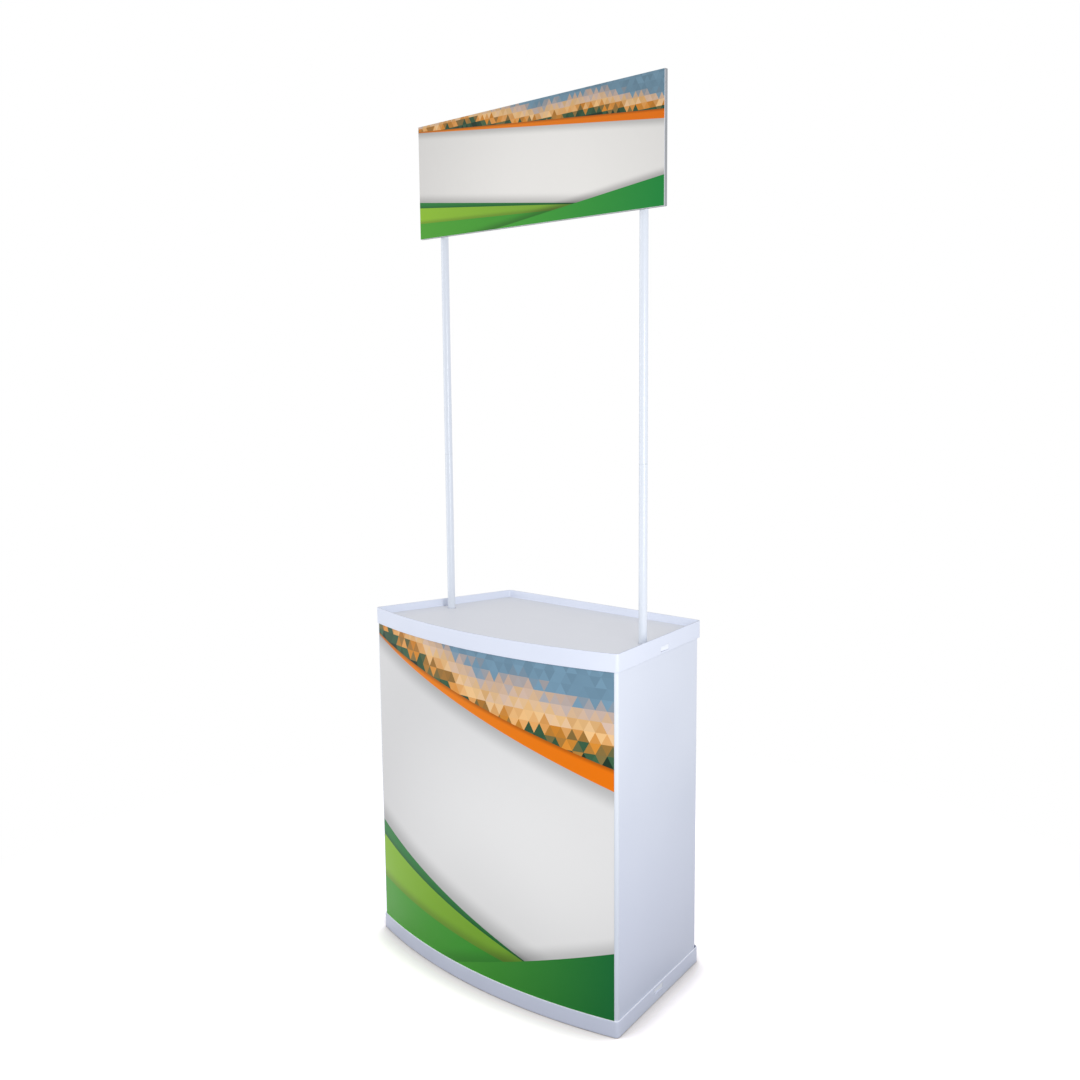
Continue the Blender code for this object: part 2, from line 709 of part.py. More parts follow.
def add_top_tray():
    foot = RIM_WIDTH + RIM_DRAFT
    section = [
        (SKIRT_WALL, FLOOR_UNDER, 0),
        (SKIRT_WALL, TOP_SKIRT_EDGE, 0),
        (0, TOP_SKIRT_EDGE, EDGE_RADIUS),
        (0, COUNTER_HEIGHT, EDGE_RADIUS),
        (RIM_WIDTH, COUNTER_HEIGHT, EDGE_RADIUS),
        (foot, FLOOR_TOP, FLOOR_FILLET),
        (foot + FLOOR_MARGIN, FLOOR_TOP, 0),
    ]
    shape = bmesh.new()
    swept_section(shape, section)
    tray = add_piece("top_tray", shape, "tray_abs")
    low = FLOOR_UNDER + TRAY_WALL / 2
    add_lugs(tray, FLOOR_UNDER - LUG_HEIGHT, low)
    reach = POLE_X - SOCKET_FLANGE_RADIUS - RIB_WALL
    long_ys = spread(CORNER.y, BACK_Y - RIB_EDGE_MARGIN, LONG_RIB_SHARES)
    cross_xs = [reach * share for share in CROSS_RIB_SHARES]
    add_ribs(tray, long_ys, cross_xs, FLOOR_UNDER - TOP_RIB_HEIGHT, low)
    cuts = bmesh.new()
    for side in SIDES.values():
        hole = POLE_RADIUS + POLE_HOLE_GAP
        ends = ((hole, FLOOR_UNDER - OVERRUN), (hole, FLOOR_TOP + OVERRUN))
        turned(cuts, ends, (side * POLE_X, POLE_Y))
        insets = (NICHE_INSET, NICHE_INSET + NICHE_WIDTH)
        alongs = (NICHE_ALONG - NICHE_LENGTH / 2, NICHE_ALONG + NICHE_LENGTH / 2)
        side_block(cuts, side, insets, alongs, (FLOOR_UNDER - GAP, COUNTER_HEIGHT + OVERRUN))
        catch_window(cuts, side, (-OVERRUN, WALL_INSET), TOP_CATCH_ALONG, top_catch_height())
    combine(tray, "DIFFERENCE", cuts)


def add_pole_socket(name, side):
    """A cup under the tray with a flange at its mouth and webs that brace it."""
    top = FLOOR_UNDER - GAP
    seat = POLE_SEAT - GAP
    flange = top - SOCKET_FLANGE_WALL
    profile = [
        (SOCKET_OUTER, seat - SOCKET_WALL),
        (SOCKET_OUTER, flange),
        (SOCKET_FLANGE_RADIUS, flange),
        (SOCKET_FLANGE_RADIUS, top),
        (SOCKET_BORE, top),
        (SOCKET_BORE, seat),
    ]
    place = (side * POLE_X, POLE_Y, 0)
    shape = bmesh.new()
    turned(shape, profile)
    socket = add_piece(f"pole_socket_{name}", shape, "socket_abs", place)
    webs = bmesh.new()
    inner = SOCKET_OUTER - SOCKET_WALL / 2
    high = flange + SOCKET_FLANGE_WALL / 2
    foot = flange - SOCKET_WEB_HEIGHT
    web = [(inner, high), (SOCKET_FLANGE_RADIUS - RIB_WALL, high), (SOCKET_OUTER, foot), (inner, foot)]
    for i in range(SOCKET_WEB_COUNT):
        out = polar(Vector((0, 0)), 1, 2 * math.pi * i / SOCKET_WEB_COUNT)
        across = Vector((-out.y, out.x)) * RIB_WALL / 2
        skin(webs, [[(*(out * r + shift), z) for r, z in web] for shift in (-across, across)])
    combine(socket, "UNION", webs)


def add_tube(name, finish_name, radii, heights, place, carrier):
    shape = bmesh.new()
    tube(shape, *radii, *heights)
    add_piece(name, shape, finish_name, place, carrier)


def add_poles():
    """Both poles, each a lower and an upper tube with a spigot between, and the two levels they lift at."""
    lower = add_carrier("lower_pole_slide", (0, POLE_Y, POLE_SEAT))
    upper = add_carrier("upper_pole_slide", (0, POLE_Y, SEAM))
    pole = (POLE_RADIUS, POLE_BORE)
    spigot = (SPIGOT_RADIUS, SPIGOT_RADIUS - SPIGOT_WALL)
    half = SPIGOT_LENGTH / 2
    for name, side in SIDES.items():
        foot = (side * POLE_X, POLE_Y, POLE_SEAT)
        seam = (side * POLE_X, POLE_Y, SEAM)
        add_tube(f"lower_pole_{name}", "pole_enamel", pole, (0, LOWER_POLE_LENGTH), foot, lower)
        add_tube(f"upper_pole_{name}", "pole_enamel", pole, (GAP, GAP + UPPER_POLE_LENGTH), seam, upper)
        add_tube(f"pole_spigot_{name}", "spigot_steel", spigot, (-half, half), seam, upper)


def clip_places():
    """Each clip's side, and the height of its lower edge over the header's."""
    places = {}
    for name, side in SIDES.items():
        places[f"top_{name}"] = (side, TOP_CLIP_HEIGHT)
        places[f"bottom_{name}"] = (side, CLIP_FROM_EDGE)
    return places


def screw_places(side, clip_height):
    """The two screws of a clip in the header's frame: outer and inner, as x and z."""
    z = clip_height + CLIP_HEIGHT / 2
    middle = side * POLE_X
    return {"outer": (middle + side * CLIP_SCREW_X, z), "inner": (middle - side * CLIP_SCREW_X, z)}


def cross_hole(shape, x, z, front, back):
    """A clearance hole for a screw, from front to back."""
    ring = arc(Vector((x, z)), SCREW_RADIUS + GAP, 0, 2 * math.pi, SCREW_SIDES)[1:]
    skin(shape, [[(point.x, y, point.y) for point in ring] for y in (front, back)])


def add_header(carrier):
    half = HEADER_WIDTH / 2
    shape = bmesh.new()
    box(shape, (-half, BOARD_FRONT, 0), (half, HEADER_BACK, HEADER_HEIGHT))
    bmesh.ops.bevel(
        shape,
        geom=shape.edges,
        offset=HEADER_EDGE_RADIUS,
        segments=BEVEL_STEPS,
        profile=ROUND_PROFILE_SHARE,
        affect="EDGES",
    )
    board = add_piece("header_board", shape, "foam_board", carrier.location, carrier)
    holes = bmesh.new()
    for side, height in clip_places().values():
        for x, z in screw_places(side, height).values():
            cross_hole(holes, x, z, EAR_BACK - SCREW_LENGTH, HEADER_BACK + OVERRUN)
    combine(board, "DIFFERENCE", holes)
    edge = HEADER_EDGE_RADIUS
    back = HEADER_FRONT + PRINT_WALL
    shape = bmesh.new()
    box(shape, (edge - half, HEADER_FRONT, edge), (half - edge, back, HEADER_HEIGHT - edge))
    add_piece("header_print", shape, "header_film", carrier.location, carrier)


def clip_arch(radius, steps):
    """The right-to-left arch of a clip round the back of its pole."""
    return arc(Vector((0, 0)), radius, 0, math.pi, steps)


def add_header_clip(name, side, height, carrier):
    """A saddle clip round the back of a pole. A top one has a lid that rests on the pole's end."""
    inner = [(CLIP_BORE, EAR_FRONT), *clip_arch(CLIP_BORE, CLIP_STEPS), (-CLIP_BORE, EAR_FRONT)]
    ears = [(-CLIP_EAR_REACH, EAR_FRONT), (-CLIP_EAR_REACH, EAR_BACK), (-CLIP_OUTER, EAR_BACK)]
    outer = reversed(clip_arch(CLIP_OUTER, CLIP_STEPS))
    ends = [(CLIP_OUTER, EAR_BACK), (CLIP_EAR_REACH, EAR_BACK), (CLIP_EAR_REACH, EAR_FRONT)]
    shape = bmesh.new()
    prism(shape, inner + ears + list(outer) + ends, 0, CLIP_HEIGHT)
    base = carrier.location + Vector((side * POLE_X, 0, height))
    clip = add_piece(f"header_clip_{name}", shape, "clip_nylon", base, carrier)
    if height == TOP_CLIP_HEIGHT:
        lid = bmesh.new()
        reach = CLIP_OUTER - CLIP_WALL / 2
        corners = [(reach, EAR_FRONT), *clip_arch(reach, CLIP_STEPS), (-reach, EAR_FRONT)]
        prism(lid, corners, LID_UNDER, LID_UNDER + CLIP_WALL)
        combine(clip, "UNION", lid)
    holes = bmesh.new()
    for x in (-CLIP_SCREW_X, CLIP_SCREW_X):
        cross_hole(holes, x, CLIP_HEIGHT / 2, EAR_FRONT - OVERRUN, EAR_BACK + OVERRUN)
    combine(clip, "DIFFERENCE", holes)


def add_clip_screw(name, x, z, carrier):
    """A pan-head screw along Y, with its head at the back."""
    profile = [
        (SCREW_RADIUS * SCREW_TIP_SHARE, -SCREW_LENGTH),
        (SCREW_RADIUS, SCREW_TIP_LENGTH - SCREW_LENGTH),
        (SCREW_RADIUS, 0),
        (SCREW_HEAD_RADIUS, 0),
        (SCREW_HEAD_RADIUS, SCREW_HEAD_HEIGHT * SCREW_RIM_SHARE),
        (SCREW_HEAD_RADIUS * SCREW_CROWN_SHARE, SCREW_HEAD_HEIGHT),
    ]
    shape = bmesh.new()
    turned(shape, profile, sides=SCREW_SIDES)
    place = carrier.location + Vector((x, SCREW_SEAT, z))
    screw = add_piece(f"clip_screw_{name}", shape, "screw_steel", place, carrier)
    screw.rotation_euler.x = -math.pi / 2


def add_header_fixings(carrier):
    for name, (side, height) in clip_places().items():
        add_header_clip(name, side, height, carrier)
        for place, (x, z) in screw_places(side, height).items():
            add_clip_screw(f"{name}_{place}", x, z, carrier)


def main():
    for old in list(bpy.data.objects):
        bpy.data.objects.remove(old)
    add_base_tray()
    add_feet()
    add_front_wall()
    for name, side in SIDES.items():
        add_corner_profile(name, side)
        add_side_panel(name, side)
        add_snap_catch(f"top_{name}", side, TOP_CATCH_ALONG, top_catch_height())
        add_snap_catch(f"base_{name}", side, BASE_CATCH_ALONG, base_catch_height())
        add_shelf_rail(name, side)
        add_pole_socket(name, side)
    add_shelf()
    add_top_tray()
    add_poles()
    header = add_carrier("header_slide", (0, POLE_Y, HEADER_BOTTOM))
    add_header(header)
    add_header_fixings(header)


main()
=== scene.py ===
"""Visual model of an exhibition counter with a header board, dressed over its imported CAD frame.

Metres, in the frame's own axes: +Z up, +X to the counter's right, and the bowed front towards -Y.
The colour and node helpers come first, then the finishes, the printed artwork, the studio, the
sub-assemblies, and main, which builds them in order.
"""

import logging
import math
from collections.abc import Sequence
from dataclasses import dataclass
from enum import Enum

import bmesh
import bpy
from mathutils import Matrix, Vector


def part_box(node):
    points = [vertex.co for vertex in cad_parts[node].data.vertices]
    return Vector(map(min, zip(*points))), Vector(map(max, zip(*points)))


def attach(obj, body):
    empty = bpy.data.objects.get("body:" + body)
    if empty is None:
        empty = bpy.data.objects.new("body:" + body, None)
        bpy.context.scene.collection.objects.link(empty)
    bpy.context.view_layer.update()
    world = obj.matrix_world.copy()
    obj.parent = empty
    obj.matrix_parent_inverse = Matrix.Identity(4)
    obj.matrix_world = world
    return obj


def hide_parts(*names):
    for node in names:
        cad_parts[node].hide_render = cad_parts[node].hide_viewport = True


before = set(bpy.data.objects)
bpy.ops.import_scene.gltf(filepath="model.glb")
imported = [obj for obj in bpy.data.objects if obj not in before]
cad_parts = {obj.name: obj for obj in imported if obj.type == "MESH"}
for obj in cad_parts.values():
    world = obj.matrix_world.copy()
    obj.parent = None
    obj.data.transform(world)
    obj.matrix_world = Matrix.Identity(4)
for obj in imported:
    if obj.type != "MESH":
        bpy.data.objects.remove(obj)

LOG = logging.getLogger("exhibition_counter")
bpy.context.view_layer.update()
MM = 0.001
# An edge that turns by more than this stays crisp
CRISP = math.radians(35)
# Where nearly all of a noise's values lie, and so what a change of gloss is spread over
NOISE_SPREAD = (0.25, 0.75)
# How much finer detail a noise has than its own size
SMOOTH, SOFT, FINE = 1.0, 2.0, 3.0

MATH = "ShaderNodeMath"
MIX = "ShaderNodeMix"
NOISE = "ShaderNodeTexNoise"
CELLS = "ShaderNodeTexVoronoi"
RANGE = "ShaderNodeMapRange"
VECTOR = "ShaderNodeVectorMath"
SPLIT = "ShaderNodeSeparateXYZ"
JOIN = "ShaderNodeCombineXYZ"
PLACE = "ShaderNodeTexCoord"
SURFACE = "ShaderNodeNewGeometry"
SHELTER = "ShaderNodeAmbientOcclusion"
# The shader that a new material starts with
SHADER = "Principled BSDF"
# The settings that every node of a kind has: all that is mixed here is colour
ALWAYS = {MIX: {"data_type": "RGBA"}}

Tree = bpy.types.NodeTree
Node = bpy.types.Node
Socket = bpy.types.NodeSocket
Colour = tuple[float, float, float, float]
Source = Node | Socket | str | float | tuple[float, ...] | None
Pair = tuple[float, float]
Point = tuple[float, float, float]
Ring = list[Point]


def linear(code: str) -> Colour:
    """Turn an sRGB hex value into linear light.

    Args:
        code: The colour, such as "#E4EAFA".

    Returns:
        Red, green, blue and an alpha of one.
    """
    shares = [int(code[i : i + 2], 16) / 255 for i in (1, 3, 5)]
    light = [s / 12.92 if s <= 0.04045 else ((s + 0.055) / 1.055) ** 2.4 for s in shares]
    return (light[0], light[1], light[2], 1.0)


def feed(tree: Tree, node: Node | str, inputs: dict[int | str, Source]) -> None:
    """Link or set some of a node's inputs.

    Args:
        tree: The node tree.
        node: The node, or the name of one that the tree starts with.
        inputs: What goes in, by the input's name or its place among those in use: a node, which
            stands for its first output in use, a socket, a plain value, an sRGB hex colour, or
            None to leave the input as it is.
    """
    if isinstance(node, str):
        node = tree.nodes[node]
    used = [socket for socket in node.inputs if socket.enabled]
    for key, value in inputs.items():
        socket = used[key] if isinstance(key, int) else next(s for s in used if s.name == key)
        if isinstance(value, Node):
            value = next(output for output in value.outputs if output.enabled)
        if isinstance(value, Socket):
            tree.links.new(value, socket)
        elif isinstance(value, str) and value.startswith("#"):
            socket.default_value = linear(value)
        elif value is not None:
            socket.default_value = value


def add_node(
    tree: Tree,
    kind: str,
    *sources: Source,
    links: dict[str, Source] | None = None,
    stops: Sequence[tuple[float, str]] = (),
    **settings: str | int | bool,
) -> Node:
    """Add a node with its settings, and link or set what goes into it.

    Args:
        tree: The node tree.
        kind: The node's type name.
        sources: What goes into its inputs in order, as feed takes it.
        links: The same by the input's name.
        stops: A colour ramp's stops, as place and sRGB hex colour.
        settings: The node's own settings, beside those that its kind always has.

    Returns:
        The new node.
    """
    made = tree.nodes.new(kind)
    for name, value in (ALWAYS.get(kind, {}) | settings).items():
        setattr(made, name, value)
    for i, (place, colour) in enumerate(stops):
        stop = made.color_ramp.elements[i] if i < 2 else made.color_ramp.elements.new(place)
        stop.position, stop.color = place, linear(colour)
    feed(tree, made, dict(enumerate(sources)) | (links or {}))
    return made


def put(name: str, data: bpy.types.ID) -> bpy.types.Object:
    """Add an object to the scene.

    Args:
        name: Its name.
        data: Its mesh, lamp or camera.

    Returns:
        The new object.
    """
    made = bpy.data.objects.new(name, data)
    bpy.context.scene.collection.objects.link(made)
    return made


class Side(Enum):
    """The counter's two sides, as the end of a node's name."""

    LEFT = "left"
    RIGHT = "right"


class Body(Enum):
    """The CAD bodies that new pieces ride on."""

    COUNTER = "counter"
    HEADER = "header"


class Fill(Enum):
    """What a printed band is filled with."""

    GRADIENT = "gradient"
    FACETS = "facets"


class Reach(Enum):
    """Which side of its edge a printed band covers, and the sign of the way out of it."""

    BELOW = 1
    ABOVE = -1


# Finishes


@dataclass(frozen=True)
class Finish:
    """A finish, from what the piece is made of and how its surface was made.

    An edge is found by the cosine between the true normal and one that turns round the edge:
    at the first of its two turns the edge mask is full, and at the second it is empty. Between
    the patches its least share is left. The mask carries edge wear, which changes the gloss, and
    a painted highlight, which pales the colour.
    """

    name: str
    colour: str
    roughness: float
    ior: float = 1.5
    metallic: float = 0.0
    edge_samples: int = 6
    wear_and_highlight_turn: Pair = (0.80, 0.985)
    wear_and_highlight_patch: float = 40 * MM
    wear_and_highlight_uneven: Pair = (0.35, 0.65)
    wear_and_highlight_least: float = 0.25

    def material(self) -> bpy.types.Material:
        """Make the material the first time, and find it after that.

        Returns:
            The material of this finish.
        """
        found = bpy.data.materials.get(self.name)
        if found:
            return found
        made = bpy.data.materials.new(self.name)
        made.use_nodes = True
        tree = made.node_tree
        plain = {"Base Color": self.colour, "Roughness": self.roughness, "Metallic": self.metallic}
        if not self.metallic:
            plain["IOR"] = self.ior
        feed(tree, SHADER, plain)
        self.detail(tree)
        return made

    def detail(self, tree: Tree) -> None:
        """Add what sets this finish apart from a flat colour."""

    def place(self, tree: Tree) -> Socket:
        """Return the surface's own place in metres, which moves with its piece."""
        return add_node(tree, PLACE).outputs["Object"]

    def facing(self, tree: Tree, axis: str) -> Socket:
        """Return how far the surface faces along an axis, from -1 to 1."""
        return add_node(tree, SPLIT, add_node(tree, SURFACE).outputs["Normal"]).outputs[axis]

    def vary(
        self, tree: Tree, pattern: Source, colours: tuple[Source, Source], rough: float,
        gloss: Source = None,
    ) -> None:
        """Let a pattern from 0 to 1 move the colour between two, and the roughness about its value.

        Args:
            tree: The node tree.
            pattern: The node that holds the pattern.
            colours: The colours at 0 and at 1.
            rough: How far the roughness moves either way.
            gloss: The pattern that the roughness follows, or None for the colour's.
        """
        tint = add_node(tree, MIX, pattern, *colours)
        ends = (self.roughness - rough, self.roughness + rough)
        sheen = add_node(tree, RANGE, gloss or pattern, *NOISE_SPREAD, *ends)
        feed(tree, SHADER, {"Base Color": tint, "Roughness": sheen})

    def streaks(self, tree: Tree, place: Source, lengths: Point, fine: float) -> Node:
        """Return a noise whose patches have these lengths in metres along the three axes."""
        scale = tuple(1 / length for length in lengths)
        drawn = add_node(tree, VECTOR, place, scale, operation="MULTIPLY")
        return add_node(tree, NOISE, drawn, 1.0, fine)

    def relief(self, tree: Tree, *layers: tuple[Source, float, float], over: Source = None) -> None:
        """Stack bump layers, each over the one before.

        Args:
            tree: The node tree.
            layers: Each layer's pattern, strength, and height in metres.
            over: The node whose normal the first layer lies on, or None for the surface's own.
        """
        for pattern, strength, height in layers:
            links = {"Height": pattern, "Strength": strength, "Distance": height, "Normal": over}
            over = add_node(tree, "ShaderNodeBump", links=links)
        feed(tree, SHADER, {"Normal": over})

    def soft_edges(self, tree: Tree, radius: float) -> Node:
        """Return a node whose normal turns round the piece's edges as if they had this radius."""
        return add_node(tree, "ShaderNodeBevel", radius, samples=self.edge_samples)

    def wear_and_highlight_edges(self, tree: Tree, soft: Node) -> Node:
        """Find the edges, in uneven patches, for edge wear and a painted highlight.

        Args:
            tree: The node tree.
            soft: The node with the rounded normal.

        Returns:
            A node that is 1 on a worn edge with a painted highlight, and 0 away from the edges.
        """
        true = add_node(tree, SURFACE).outputs["Normal"]
        agree = add_node(tree, VECTOR, soft, true, operation="DOT_PRODUCT").outputs["Value"]
        edge = add_node(tree, RANGE, agree, *self.wear_and_highlight_turn, 1.0, 0.0)
        patches = add_node(tree, NOISE, self.place(tree), 1 / self.wear_and_highlight_patch, SOFT)
        uneven = add_node(tree, RANGE, patches, *self.wear_and_highlight_uneven, self.wear_and_highlight_least, 1.0)
        return add_node(tree, MATH, edge, uneven, operation="MULTIPLY")


@dataclass(frozen=True, kw_only=True)
class MouldedAbs(Finish):
    """Injection-moulded ABS: spark-eroded grain, faint flow marks, worn edges, and painted light.

    The grain is about 0.2 mm on the real one. It would vanish at this size, so it is drawn
    coarser. A field that ends in rough is how far that part of the surface moves the roughness.
    scuff is a streak's width and length, and streaks wander by scuff_sweep over scuff_bend.
    The painted light is painted shade that greys a tray's floor and darkens its rim, a painted
    highlight that whitens the base's rim, a painted highlight on the edges, and painted shade
    in the piece's deep corners.
    """

    shade: str
    # Painted shade: the grey of a tray's floor, which faces up yet looks darker than the skirt
    painted_floor_shade: str = "#E0E1E4"
    # Painted light on the rim's top face: painted shade on the top tray, and a painted highlight
    # where the base gives its own
    painted_rim_light: str = "#C3C8D4"
    # Painted highlight, with edge wear in the gloss: the paler colour of the edges
    painted_edge_light: str = "#EDF1FA"
    # Painted shade: the grey in the piece's own deep corners, found by ambient occlusion
    painted_corner_shade: str = "#7E828E"
    grain: float = 2.2 * MM
    grain_relief: Pair = (0.3, 0.18 * MM)
    flow: float = 140 * MM
    flow_relief: Pair = (0.25, 1.2 * MM)
    flow_spread: Pair = (0.2, 0.8)
    flow_rough: Pair = (-0.04, 0.05)
    floor_height: float = 0.864
    floor_rough: float = 0.14
    rim_height: float = 0.883
    level_slack: float = 1.0 * MM
    level_facing: float = 0.93
    corner: float = 1.2 * MM
    edge_rough: float = -0.1
    corner_shade_reach: float = 20 * MM
    corner_shade_open: Pair = (0.12, 0.50)
    corner_shade_share: float = 0.7
    corner_shade_samples: int = 8
    scuff: Pair = (2.5 * MM, 60 * MM)
    scuff_bend: float = 250 * MM
    scuff_sweep: float = 80 * MM
    scuff_pick: Pair = (0.62, 0.70)
    scuff_rough: float = -0.16

    def detail(self, tree: Tree) -> None:
        """Lay grain and flow, painted shade on a tray's floor, painted light on its rim, wear and a
        painted highlight on the edges, and painted shade in the deep corners over them all.

        Args:
            tree: The node tree.
        """
        place = self.place(tree)
        grain = add_node(tree, NOISE, place, 1 / self.grain, FINE)
        flow = add_node(tree, NOISE, place, 1 / self.flow, SOFT)
        floor = self.level_face(tree, place, self.floor_height)
        rim = self.level_face(tree, place, self.rim_height)
        soft = self.soft_edges(tree, self.corner)
        edge = self.wear_and_highlight_edges(tree, soft)
        corner_shade = self.paint_corner_shade(tree)
        # Painted shade on the floor, painted light on the rim, a painted highlight on the edges,
        # and painted shade in the corners
        tint = add_node(tree, MIX, flow, self.colour, self.shade)
        for mask, colour in (
            (floor, self.painted_floor_shade), (rim, self.painted_rim_light),
            (edge, self.painted_edge_light), (corner_shade, self.painted_corner_shade),
        ):
            tint = add_node(tree, MIX, mask, tint, colour)
        ends = (self.roughness + change for change in self.flow_rough)
        matt = add_node(tree, RANGE, flow, *self.flow_spread, *ends)
        scuffs = self.scuffs(tree, place, floor)
        for mask, change in (
            (floor, self.floor_rough), (scuffs, self.scuff_rough), (edge, self.edge_rough)
        ):
            matt = add_node(tree, MATH, mask, change, matt, operation="MULTIPLY_ADD")
        feed(tree, SHADER, {"Base Color": tint, "Roughness": matt})
        layers = ((flow, *self.flow_relief), (grain, *self.grain_relief))
        self.relief(tree, *layers, over=soft)

    def level_face(self, tree: Tree, place: Socket, height: float) -> Node:
        """Find the faces that look straight up at one height, as a tray's floor and rim do.

        Args:
            tree: The node tree.
            place: The surface's own place.
            height: The faces' height in metres.

        Returns:
            A node that is 1 on those faces and 0 elsewhere.
        """
        level = add_node(tree, SPLIT, place).outputs["Z"]
        upward = self.facing(tree, "Z")
        flat = add_node(tree, MATH, upward, self.level_facing, operation="GREATER_THAN")
        here = add_node(tree, MATH, level, height, self.level_slack, operation="COMPARE")
        return add_node(tree, MATH, flat, here, operation="MULTIPLY")

    def paint_corner_shade(self, tree: Tree) -> Node:
        """Find the piece's own deep corners by ambient occlusion, for painted shade.

        Args:
            tree: The node tree.

        Returns:
            A node that holds the painted shade's share: the full share deep in a corner, and 0 in
            the open.
        """
        reach = {"Distance": self.corner_shade_reach}
        sky = add_node(tree, SHELTER, links=reach, samples=self.corner_shade_samples, only_local=True)
        deep = add_node(tree, RANGE, sky.outputs["AO"], *self.corner_shade_open, 1.0, 0.0)
        return add_node(tree, MATH, deep, self.corner_shade_share, operation="MULTIPLY")

    def scuffs(self, tree: Tree, place: Socket, floor: Node) -> Node:
        """Rub faint streaks into the working floor, as things slid across it would.

        Args:
            tree: The node tree.
            place: The surface's own place.
            floor: The node that is 1 on the floor.

        Returns:
            A node that is 1 in a streak and 0 elsewhere.
        """
        across, along = self.scuff
        sweep = (self.scuff_sweep, self.scuff_sweep, 0.0)
        bend = add_node(tree, NOISE, place, 1 / self.scuff_bend).outputs["Color"]
        swept = add_node(tree, VECTOR, bend, sweep, place, operation="MULTIPLY_ADD")
        streaks = self.streaks(tree, swept, (along, across, math.inf), SOFT)
        picked = add_node(tree, RANGE, streaks, *self.scuff_pick, 0.0, 1.0)
        return add_node(tree, MATH, picked, floor, operation="MULTIPLY")


@dataclass(frozen=True, kw_only=True)
class ExtrudedSheet(Finish):
    """Extruded sheet or profile: long die lines up a satin skin, worn edges with a painted
    highlight, and painted shade low down.

    The real die lines are under 1 mm apart, and are drawn coarser so that they show. The painted
    shade is strongest at the lower of its two heights and fades out at the upper.
    """

    shade: str
    # Painted shade: the sheet greys towards the ground, where the light is weaker
    ground_shade_colour: str = "#A4B0CE"
    ground_shade_share: float = 0.38
    ground_shade_heights: Pair = (0.0, 0.85)
    # Painted highlight: the paler colour of the edges, where the profile's round gleams
    painted_edge_light: str = "#FAFCFF"
    edge_rough: float = 0.03
    line: float = 5 * MM
    line_length: float = 900 * MM
    line_relief: Pair = (0.12, 0.1 * MM)
    wave: float = 260 * MM
    wave_relief: Pair = (0.3, 2.0 * MM)
    corner: float = 0.8 * MM

    def detail(self, tree: Tree) -> None:
        """Lay lines and waves in the relief, a faint drift of the colour, painted shade towards the
        ground, and edges paled with a painted highlight.

        Args:
            tree: The node tree.
        """
        place = self.place(tree)
        lines = self.streaks(tree, place, (self.line, self.line, self.line_length), FINE)
        waves = add_node(tree, NOISE, place, 1 / self.wave, SMOOTH)
        soft = self.soft_edges(tree, self.corner)
        # Painted shade that greys the colour towards the ground
        level = add_node(tree, SPLIT, place).outputs["Z"]
        ground_shade = add_node(
            tree, RANGE, level, *self.ground_shade_heights, self.ground_shade_share, 0.0,
            interpolation_type="SMOOTHERSTEP",
        )
        drift = add_node(tree, MIX, waves, self.colour, self.shade)
        ground_shaded = add_node(tree, MIX, ground_shade, drift, self.ground_shade_colour)
        edge = self.wear_and_highlight_edges(tree, soft)
        # The edges' paler colour is a painted highlight; their roughness is edge wear
        self.vary(tree, edge, (ground_shaded, self.painted_edge_light), self.edge_rough)
        layers = ((waves, *self.wave_relief), (lines, *self.line_relief))
        self.relief(tree, *layers, over=soft)


@dataclass(frozen=True, kw_only=True)
class Grained(Finish):
    """A coated or moulded skin with one grain, which its colour, gloss and relief follow alike.

    fine is how much finer detail the grain has, and even holds the shader's own values that set
    this material apart.
    """

    shade: str
    grain: float
    fine: float
    grain_rough: float
    grain_relief: Pair
    even: dict[str, float]

    def detail(self, tree: Tree) -> None:
        """Lay the grain, and set the even values.

        Args:
            tree: The node tree.
        """
        feed(tree, SHADER, self.even)
        grain = add_node(tree, NOISE, self.place(tree), 1 / self.grain, self.fine)
        self.vary(tree, grain, (self.colour, self.shade), self.grain_rough)
        self.relief(tree, (grain, *self.grain_relief))


@dataclass(frozen=True)
class FoamedSheet(Finish):
    """Foamed PVC board: matt skins, and sawn edges where the closed cells show as pores. The edges
    are painted greyer than the skin, and the pores darker still, as painted shade.

    The real cells are about 0.3 mm. They are drawn coarser so that they show.
    """

    painted_edge_light: str = "#9A9C9E"
    painted_pore_shade: str = "#7A7C7E"
    pore: float = 1.8 * MM
    pore_size: float = 0.45
    pore_depth: float = 0.35
    pore_relief: Pair = (0.5, 0.25 * MM)
    skin_facing: float = 0.6

    def detail(self, tree: Tree) -> None:
        """Open the pores on the four sawn edges alone.

        Args:
            tree: The node tree.
        """
        flat = add_node(tree, MATH, self.facing(tree, "Y"), operation="ABSOLUTE")
        edge = add_node(tree, MATH, flat, self.skin_facing, operation="LESS_THAN")
        pores = add_node(tree, CELLS, self.place(tree), 1 / self.pore)
        deep = add_node(tree, RANGE, pores, 0.0, self.pore_size, self.pore_depth, 1.0)
        # Painted shade: the sawn edges and their pores are greyer than the skin
        sawn = add_node(tree, MIX, deep, self.painted_pore_shade, self.painted_edge_light)
        tint = add_node(tree, MIX, edge, self.colour, sawn)
        feed(tree, SHADER, {"Base Color": tint})
        height = add_node(tree, MATH, deep, edge, operation="MULTIPLY")
        self.relief(tree, (height, *self.pore_relief))


